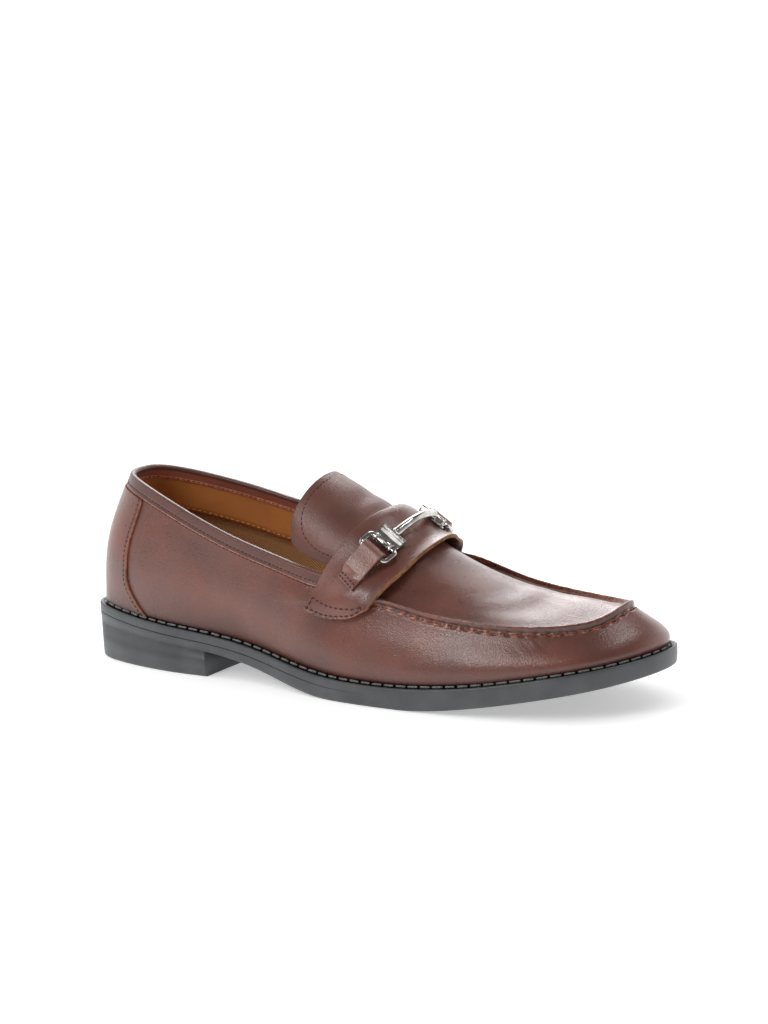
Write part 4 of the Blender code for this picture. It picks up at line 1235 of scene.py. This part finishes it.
def tongue():
    """Tongue from under the throat to its free end, with a sewn line inside its edge."""
    across = np.linspace(-1, 1, 17)
    throat = 0.5 + 0.16 * across
    rows = []
    for lap in (TONGUE_LAP, 0.0):
        level = 2 - lap / span(throat, 1)
        rows.append(skin(throat, level) - skin_normal(throat, level) * (WALL + OVERLAY_GAP))
    for part in (0.14, 0.27, 0.41, 0.56, 0.71, 0.86, 1.0):
        row = tongue_row(part * (1 - 0.16 * np.abs(across)**6))
        arch = np.cos(across * np.pi / 2)
        along = row[:, 2] + (row[:, 0] - row[:, 2]) * arch
        height = row[:, 3] + (row[:, 1] - row[:, 3]) * arch
        wide = np.where(across < 0, row[:, 4], row[:, 5])
        rows.append(np.stack([along, wide * np.sin(across * np.pi / 2), height], -1))
    grid = resampled(np.array(rows), 110, 130)
    down = np.linspace(0, 1, 110)[:, None]
    over = np.linspace(-1, 1, 130)[None, :]
    # Two soft folds across it
    fold = 0.5 * np.exp(-((down - 0.62 - 0.10 * over) / 0.085)**2) * ease(np.abs(over), 0.95, 0.3)
    fold += 0.3 * np.exp(-((down - 0.45 + 0.06 * over) / 0.06)**2) * ease(np.abs(over), 0.8, 0.2)
    at = surface_of(grid)
    normals = at(down * np.ones_like(over), (over + 1) / 2 * np.ones_like(down))[1]
    grid = grid - lifted(grid, normals)[1] * (fold * MM)[..., None]
    # Darker outside the sewn line
    rim = np.maximum(ease(np.abs(over), 0.875, 0.905) * np.ones_like(down), ease(down, 0.935, 0.95))
    masks = {"burnish": 0.22 * rim}
    looks = (CALF_SOFT, CALF_DARK, LINING)
    leather_sheet("tongue_leather", grid, TONGUE_THICK, looks, "tongue", masks, 0.0007)
    swing = np.linspace(0, np.pi, 400)
    right = np.sign(np.cos(swing)) * np.abs(np.cos(swing))**0.36
    ahead = 0.30 + (0.94 - 0.30) * np.sin(swing)**0.36
    line = lifted(*surface_of(grid)(ahead, 0.5 - 0.5 * right * 0.89))
    sewn("tongue_stitches", [line], THREAD, "tongue")


def resampled(grid, rows, columns):
    """Smooth finer grid through the points of a coarse one."""
    places = np.linspace(0, 1, grid.shape[0])
    table = np.concatenate([places[:, None], grid.reshape(grid.shape[0], -1)], -1)
    down = smooth_line(table)(np.linspace(0, 1, rows)).reshape(rows, grid.shape[1], 3)
    turned = np.swapaxes(down, 0, 1)
    places = np.linspace(0, 1, grid.shape[1])
    table = np.concatenate([places[:, None], turned.reshape(grid.shape[1], -1)], -1)
    over = smooth_line(table)(np.linspace(0, 1, columns)).reshape(columns, rows, 3)
    return np.swapaxes(over, 0, 1)


# Strap, tabs and bit

def tree_of(points, faces):
    return BVHTree.FromPolygons([Vector(p) for p in points], [list(map(int, f)) for f in faces])


def swung(along, swing, reach):
    swing = np.radians(swing)
    return np.stack([along, reach * np.sin(swing), STRAP_AXIS + reach * np.cos(swing)], -1)


def cast(tree, along, swing):
    """Point on the outside of the strap and its normal, looking in from a swing about the shoe."""
    way = Vector((0, math.sin(math.radians(swing)), math.cos(math.radians(swing))))
    start = 0.15
    hit = tree.ray_cast(Vector((along, 0, STRAP_AXIS)) + way * start, -way)
    return swung(along, swing, start - hit[3]), np.array(hit[1])


def across_strap(swing, width):
    """Along of a place across the strap."""
    row = strap_row(swing)
    return row[0] + (row[1] - row[0]) * width


def on_strap(swing, width):
    return cast(STRAP_TREE, across_strap(swing, width), swing)


def under_point(point):
    """Place on the strap's outside that a point lies over, and its normal."""
    return cast(STRAP_TREE, point[0], math.degrees(math.atan2(point[1], point[2] - STRAP_AXIS)))


def strap_end(width):
    """Swing where the strap ends; its front corner is rounded off."""
    corner = STRAP_CORNER * min(max((width - 0.8) / 0.2, 0), 1)**2
    return STRAP_SWING + STRAP_BOW * math.sin(math.pi * width) - corner


def strap_grid():
    """Outside of the strap as a smooth grid through the solid's outside."""
    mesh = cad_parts["strap"].data
    corners = np.array([v.co for v in mesh.vertices]) + (MIDDLE, 0, 0)
    tree = tree_of(corners, [p.vertices for p in mesh.polygons])
    rows = []
    for width in np.clip(np.linspace(0, 1, 8), 0.004, 0.996):
        swings = np.clip(np.linspace(-1, 1, 29), -0.997, 0.997) * strap_end(width)
        rows.append([cast(tree, across_strap(swing, width), swing)[0] for swing in swings])
    return resampled(np.array(rows), 56, 190)[:, ::-1]


STRAP_GRID = strap_grid()
STRAP_TREE = tree_of(STRAP_GRID.reshape(-1, 3), grid_faces(*STRAP_GRID.shape[:2]))


def strap():
    """Strap over the instep, cut edges showing, a stitched box at each end."""
    looks = (CALF, EDGE_TAN, CALF_DARK)
    over = np.linspace(0, 1, STRAP_GRID.shape[0])[:, None]
    along = np.linspace(0, 1, STRAP_GRID.shape[1])[None, :]
    ends = ease(np.minimum(along, 1 - along), 0.0105, 0.0055) * np.ones_like(over)
    masks = {"raw": np.maximum(ends, 0.8 * ease(over, 0.972, 0.99))}
    leather_sheet("strap_leather", STRAP_GRID, STRAP_THICK, looks, "strap", masks, 0.00025)
    at = surface_of(STRAP_GRID)
    # place across the strap and along it from the crest to its end: the stitched box
    corners = [(0.055, 0.978), (0.055, 0.905), (0.90, 0.935), (0.885, 0.978), (0.055, 0.978)]
    part = np.linspace(0, 1, 60)[:, None]
    path = [np.array(a) * (1 - part) + np.array(b) * part for a, b in zip(corners, corners[1:])]
    path = np.concatenate(path)
    lines = [lifted(*at(path[:, 0], 0.5 + 0.5 * side * path[:, 1])) for side in (-1, 1)]
    sewn("strap_stitches", lines, THREAD, "strap")


def bit_frame(swing, width):
    """Place on the strap with directions along the shoe, over the strap and away from it."""
    place, normal = on_strap(swing, width)
    over_way = unit(on_strap(swing + 5, width)[0] - on_strap(swing - 5, width)[0])
    ahead = unit(np.cross(over_way, normal))
    return place, ahead, over_way, np.cross(ahead, over_way)


def tube(points, radii, sides, closed):
    """Round bar along points, each section square to its run; open ends are shut."""
    points = np.asarray(points, float)
    if closed:
        run = np.roll(points, -1, 0) - np.roll(points, 1, 0)
    else:
        run = np.gradient(points, axis=0)
    run = unit(run)
    beside = unit(np.cross(run[0], UP if abs(run[0][2]) < 0.9 else np.array([1.0, 0, 0])))
    sections = []
    for place, way, radius in zip(points, run, radii):
        beside = unit(beside - way * np.dot(beside, way))
        over = np.cross(way, beside)
        swing = np.linspace(0, 2 * np.pi, sides, endpoint=False)[:, None]
        sections.append(place + radius * (np.cos(swing) * beside + np.sin(swing) * over))
    count = len(points)
    faces = grid_faces(count, sides, True, True) if closed else shut_faces(count, sides)
    return np.array(sections), faces


def even_loop(points, count):
    """Evenly spaced points on the closed line through points."""
    closed = np.array([*points, points[0]])
    run = run_along(closed)
    even = np.linspace(0, run[-1], count, endpoint=False)
    return np.stack([np.interp(even, run, closed[:, k]) for k in range(3)], -1)


def bit():
    """Metal bit: block, barrel and ring on each side held by its tab, and the arched bar between."""
    ends = []
    reed_lines, tab_lines = [], []
    ring_height = OVERLAY_GAP + TAB_THICK + GAP + WIRE + RING_CLEAR
    for side, (fold, block_swing, bit_place) in BIT_SIDES.items():
        place, ahead, over_way, normal = bit_frame(block_swing, bit_place)
        fold_place, fold_normal = on_strap(fold, bit_place)
        fold_side = fold_place + fold_normal * ring_height
        drop = over_way if np.dot(fold_side - place, over_way) > 0 else -over_way
        barrel_side = place + normal * (OVERLAY_GAP + BARREL_RADIUS) + drop * (BLOCK_WIDE / 2 + BARREL_OUT)
        bit_ring(side, ahead, barrel_side, fold_side)
        tab_lines += tab(side, ahead, drop, fold_place, fold_normal, ring_height)
        reed_lines += bit_end(side, place, ahead, normal, drop, barrel_side)
        ends.append((block_swing, bit_place))
    sewn("tab_stitches", tab_lines, THREAD, "strap")
    sewn("bit_reeds", reed_lines, PLATED, "bit_end_outer")
    bit_bar(ends)
    for name in ("end_outer_metal", "end_inner_metal", "bit_reeds"):
        BIT_METAL.objects.link(bpy.data.objects[name])


def bit_ring(side, ahead, barrel_side, fold_side):
    """Wire ring: one side in the tab's fold, the other in the barrel."""
    loop = []
    spots = ((barrel_side, 1, 1), (barrel_side, 1, -1), (fold_side, -1, -1), (fold_side, -1, 1))
    for centre, way, sign in spots:
        run = unit(fold_side - barrel_side) * way
        angles = np.linspace(0, 90, 9)
        for angle in np.radians(angles if sign * way > 0 else angles[::-1]):
            sideways = RING_HALF - RING_CORNER + RING_CORNER * math.cos(angle)
            inwards = RING_CORNER - RING_CORNER * math.sin(angle)
            loop.append(centre + ahead * sign * sideways + run * inwards)
    line = even_loop(loop, 120)
    points, faces = tube(line, np.full(len(line), WIRE), 16, True)
    mesh = outward_faces(mesh_of("bit_ring", points, faces))
    placed("ring_" + side + "_metal", mesh, [PLATED], "bit_ring_" + side, "bit_ring_" + side)


def tab(side, ahead, drop, fold_place, fold_normal, ring_height):
    """Leather tab sewn to the strap and folded round the ring; gives the lines of its stitches."""
    fold_side = fold_place + fold_normal * ring_height
    bend_radius = WIRE + GAP + TAB_THICK / 2
    level = unit(fold_normal - ahead * np.dot(fold_normal, ahead))
    down = np.cross(ahead, level)
    if np.dot(down, drop) < 0:
        down = -down
    # The tab runs straight from its sewn end, with a slight bulge, and meets the fold at a tangent
    on, normal = under_point(fold_place + down * TAB_LONG)
    sewn_end = on + normal * (OVERLAY_GAP + TAB_THICK / 2) - fold_side
    end = np.array([np.dot(sewn_end, down), np.dot(sewn_end, level)])
    leave = math.asin(bend_radius / np.linalg.norm(end)) - math.atan2(end[1], end[0])
    off = np.array([math.sin(leave), math.cos(leave)])
    path = []
    for part in np.linspace(0, 1, 34):
        path.append(end + (off * bend_radius - end) * part + off * TAB_BULGE * math.sin(math.pi * part)**2)
    for angle in np.linspace(-leave, math.pi, 16)[1:]:
        path.append(bend_radius * np.array([-math.sin(angle), math.cos(angle)]))
    path += [np.array([TAB_RETURN / 2, -bend_radius]), np.array([TAB_RETURN, -bend_radius])]
    path = np.array(path)
    run = unit(np.gradient(path, axis=0))
    beside = np.stack([-run[:, 1], run[:, 0]], -1) * TAB_THICK / 2

    def bent(line, lift):
        columns = []
        for shift in np.linspace(-TAB_WIDE / 2, TAB_WIDE / 2, 22):
            points = []
            for away, height in line:
                flat = down * away + ahead * shift
                straight = fold_side + flat + level * height
                on, normal = under_point(fold_place + flat)
                flush = on + normal * lift
                points.append(straight + (flush - straight) * ease(away, end[0] - 0.0065, end[0] - 0.0020))
            columns.append(points)
        return np.array(columns)

    signs = (1, -1) if np.dot(beside[10], off) > 0 else (-1, 1)
    top = bent(path + beside * signs[0], OVERLAY_GAP + TAB_THICK)
    under = bent(path + beside * signs[1], OVERLAY_GAP)
    loops = np.concatenate([top, under[:, ::-1]], 1)
    count, size = loops.shape[:2]
    faces = grid_faces(count, size, True).tolist()
    for first in (0, (count - 1) * size):
        faces += folded_faces(first, size)
    # The tab takes the calf with the painted highlight
    mesh = finished(outward_faces(mesh_of("tab", loops, faces)), [rounded_edges(0.0003)])
    placed("tab_" + side + "_leather", mesh, [CALF_TAB_PAINTED_HIGHLIGHT], "tab_" + side, "tab_" + side)

    at = surface_of(top)
    wide = np.linspace(0.10, 0.90, 30)
    lines = []
    for share in (0.035, 0.11):
        points, lift, closed = lifted(*at(wide, np.full_like(wide, share)))
        lines.append((points + lift * 0.05 * MM, lift, closed))
    return lines


def bit_end(side, place, ahead, normal, drop, barrel_side):
    """Block with a hollow top and a reeded lip, and the turned barrel beside it; gives the reeds' line."""
    centre = place + normal * (BLOCK_RISE + BLOCK_HIGH / 2)
    bar_way = -drop
    # towards the bar and up, in mm: hollow between the barrel's edge and the lip
    section = [(-3.2, -1.8), (-3.2, 0.30), (-3.0, 0.55), (-2.6, 0.62), (-2.3, 0.50)]
    section += [(x, 0.48 + 0.17 * (x + 1.0) + 0.085 * (x + 0.4)**2) for x in np.linspace(-2.0, 1.7, 10)]
    section += [(1.85, 1.3), (2.0, 1.55), (2.9, 1.62), (3.15, 1.45), (3.2, 1.1), (3.2, -1.8)]
    half = BLOCK_LONG / 2 / MM
    # The block draws in at both ends: place along the shoe in mm and size of the section there
    ends = [(0.0 - half, 0.86), (0.15 - half, 0.94), (0.5 - half, 1.0)]
    ends += [(-x, shrink) for x, shrink in ends[::-1]]
    rows = []
    for x, shrink in ends:
        row = [bar_way * y * shrink + normal * (z * shrink - 0.1 * (1 - shrink)) for y, z in section]
        rows.append(centre + (ahead * x + np.array(row)) * MM)
    points = np.array(rows)
    block = outward_faces(mesh_of("block", points, shut_faces(*points.shape[:2])))
    block = finished(block, [rounded_edges(0.00022, 2, 35)])

    # along the barrel from its end and its radius, in mm: collar and groove at each end, bore through it
    turned = [
        (0.0, 1.8),
        (0.1, 2.1),
        (0.4, 2.32),
        (1.05, 2.32),
        (1.25, 2.0),
        (1.4, 1.6),
        (1.7, 1.6),
        (1.85, 2.1),
    ]
    bore = (WIRE + GAP) / MM
    end = BARREL_LONG / 2 / MM
    turned = [(0.0, 2.1)] + [(end - x, r) for x, r in turned[::-1]] + [(end, bore), (0.0, bore)]
    lathe = turned[:-1] + [(-x, r) for x, r in turned[-2:0:-1]]
    swing = np.linspace(0, 2 * np.pi, 40, endpoint=False)
    spokes = np.cos(swing)[:, None] * normal + np.sin(swing)[:, None] * drop
    rings = np.array([barrel_side + ahead * x * MM + spokes * r * MM for x, r in lathe])
    barrel = outward_faces(mesh_of("barrel", rings, grid_faces(len(lathe), 40, True, True)))
    barrel = finished(barrel, [rounded_edges(0.00008, 2, 35)])

    form = bmesh.new()
    form.from_mesh(block)
    form.from_mesh(barrel)
    joined = bpy.data.meshes.new("bit_end")
    form.to_mesh(joined)
    form.free()
    joined.shade_smooth()
    placed("end_" + side + "_metal", joined, [PLATED], "bit_end_" + side, "bit_end_" + side)
    reach = np.linspace(0.6 - half, half - 0.6, 40)[:, None] * MM
    lip = centre + ahead * reach + (bar_way * 2.5 + normal * 1.62) * MM
    return [(lip, np.broadcast_to(normal, lip.shape), False)]


def bit_bar(ends):
    """Bar arched between the two blocks, wider towards each."""
    height = BLOCK_RISE + BAR_RADIUS * (1 + BAR_FLARE)
    tips = []
    for swing, width in ends:
        place, ahead, over_way, normal = bit_frame(swing, width)
        inward = over_way * -math.copysign(1.0, swing)
        start = place + normal * height + inward * (BLOCK_WIDE / 2 - 0.0004)
        tips.append([start, start + inward * 0.0020])
    rows = list(tips[0])
    for part in np.linspace(0.20, 0.80, 9):
        swing, width = np.array(ends[0]) * (1 - part) + np.array(ends[1]) * part
        place, normal = on_strap(swing, width)
        rows.append(place + normal * (height + BAR_ARCH * math.sin(math.pi * part)**2))
    rows = np.array(rows + tips[1][::-1])
    run = run_along(rows)
    even = np.linspace(0, 1, 90)
    line = smooth_line(np.concatenate([run[:, None] / run[-1], rows], -1))(even)
    radii = BAR_RADIUS * (1 + BAR_FLARE * (2 * even - 1)**2)
    points, faces = tube(line, radii, 24, False)
    mesh = outward_faces(mesh_of("bit_bar", points, faces))
    placed("bar_metal", mesh, [PLATED], "bit_bar", "bit_bar")


# Stage

def aimed(body, place, aim):
    """Object at place, facing aim."""
    body.location = place
    body.rotation_mode = "QUATERNION"
    body.rotation_quaternion = (Vector(aim) - Vector(place)).to_track_quat("-Z", "Y")


def softbox(name, place, size, power, lights):
    """Softbox aimed at the shoe; one that does not light only shows in the shine."""
    lamp = bpy.data.lights.new(name, "AREA")
    lamp.shape = "RECTANGLE"
    lamp.size, lamp.size_y = size
    lamp.energy = power
    body = in_scene(name, lamp)
    aimed(body, place, LIT_SPOT)
    body.visible_diffuse = lights
    return body


def room():
    """Bright sweep low behind the shoe, dim room overhead and behind the camera."""
    world = bpy.data.worlds.new("studio")
    bpy.context.scene.world = world
    world.use_nodes = True
    tree = world.node_tree
    way = add_node(tree, "ShaderNodeTexCoord").outputs["Generated"]

    def facing(direction, start, full):
        values = {1: tuple(unit(np.array(direction, float)))}
        dot = add_node(tree, "ShaderNodeVectorMath", values, {0: way}, operation="DOT_PRODUCT")
        links = {"Value": dot.outputs["Value"]}
        return add_node(tree, "ShaderNodeMapRange", {"From Min": start, "From Max": full}, links).outputs[0]

    behind = facing((-0.25, 1.0, 0.0), -0.15, 0.55)
    low = facing((0, 0, 1), 0.70, 0.45)
    sweep = add_node(tree, "ShaderNodeMath", None, {0: behind, 1: low}, operation="MULTIPLY")
    values = {"To Min": ROOM_DIM, "To Max": ROOM_BRIGHT}
    light = add_node(tree, "ShaderNodeMapRange", values, {"Value": sweep.outputs[0]})
    backdrop = tree.nodes["Background"]
    backdrop.inputs["Color"].default_value = tint("#ffffff")
    tree.links.new(light.outputs["Result"], backdrop.inputs["Strength"])


def stage():
    """Lit backdrop paper on the floor, the room, soft light from above and the softboxes."""
    bpy.ops.mesh.primitive_grid_add(x_subdivisions=8, y_subdivisions=8, size=FLOOR_WIDE)
    floor = bpy.context.object
    floor.name = "backdrop_floor"
    floor.data.materials.append(backdrop_paper("lit_backdrop_paper"))
    room()
    above = bpy.data.lights.new("above", "SUN")
    above.energy = OVERHEAD_POWER
    above.angle = math.radians(OVERHEAD_SPREAD)
    body = in_scene("above", above)
    aimed(body, OVERHEAD_PLACE, (0, 0, 0))
    body.visible_glossy = False
    cards = {row[0]: softbox(*row) for row in SOFTBOXES}
    cards["bit_card"].light_linking.receiver_collection = BIT_METAL


def camera():
    """The photograph's angle to the shoe."""
    azimuth, elevation, roll = np.radians((CAMERA_AZIMUTH, CAMERA_ELEVATION, CAMERA_ROLL))
    flat = math.cos(elevation)
    back = np.array([math.sin(azimuth) * flat, -math.cos(azimuth) * flat, math.sin(elevation)])
    right = np.array([math.cos(azimuth), math.sin(azimuth), 0.0])
    above = np.cross(back, right)
    rolled_right = right * math.cos(roll) + above * math.sin(roll)
    rolled_up = above * math.cos(roll) - right * math.sin(roll)
    place = np.array(CAMERA_TARGET) + back * CAMERA_DISTANCE
    aim = np.array(CAMERA_TARGET) + rolled_right * AIM_RIGHT + rolled_up * AIM_UP
    behind = unit(place - aim)
    rolled_right = unit(np.cross(rolled_up, behind))
    pose = Matrix.Identity(4)
    for column, way in enumerate((rolled_right, np.cross(behind, rolled_right), behind)):
        pose.col[column][:3] = way
    pose.translation = Vector(place)
    lens = bpy.data.cameras.new("camera")
    lens.lens = CAMERA_LENS
    lens.sensor_width = CAMERA_SENSOR
    lens.clip_start, lens.clip_end = 0.05, 60.0
    body = in_scene("camera", lens)
    body.matrix_world = pose
    bpy.context.scene.camera = body


stage()
camera()
bpy.context.scene.view_settings.view_transform = "Standard"
sole()
insole()
upper()
collar_binding()
back_counter()
tongue()
strap()
bit()
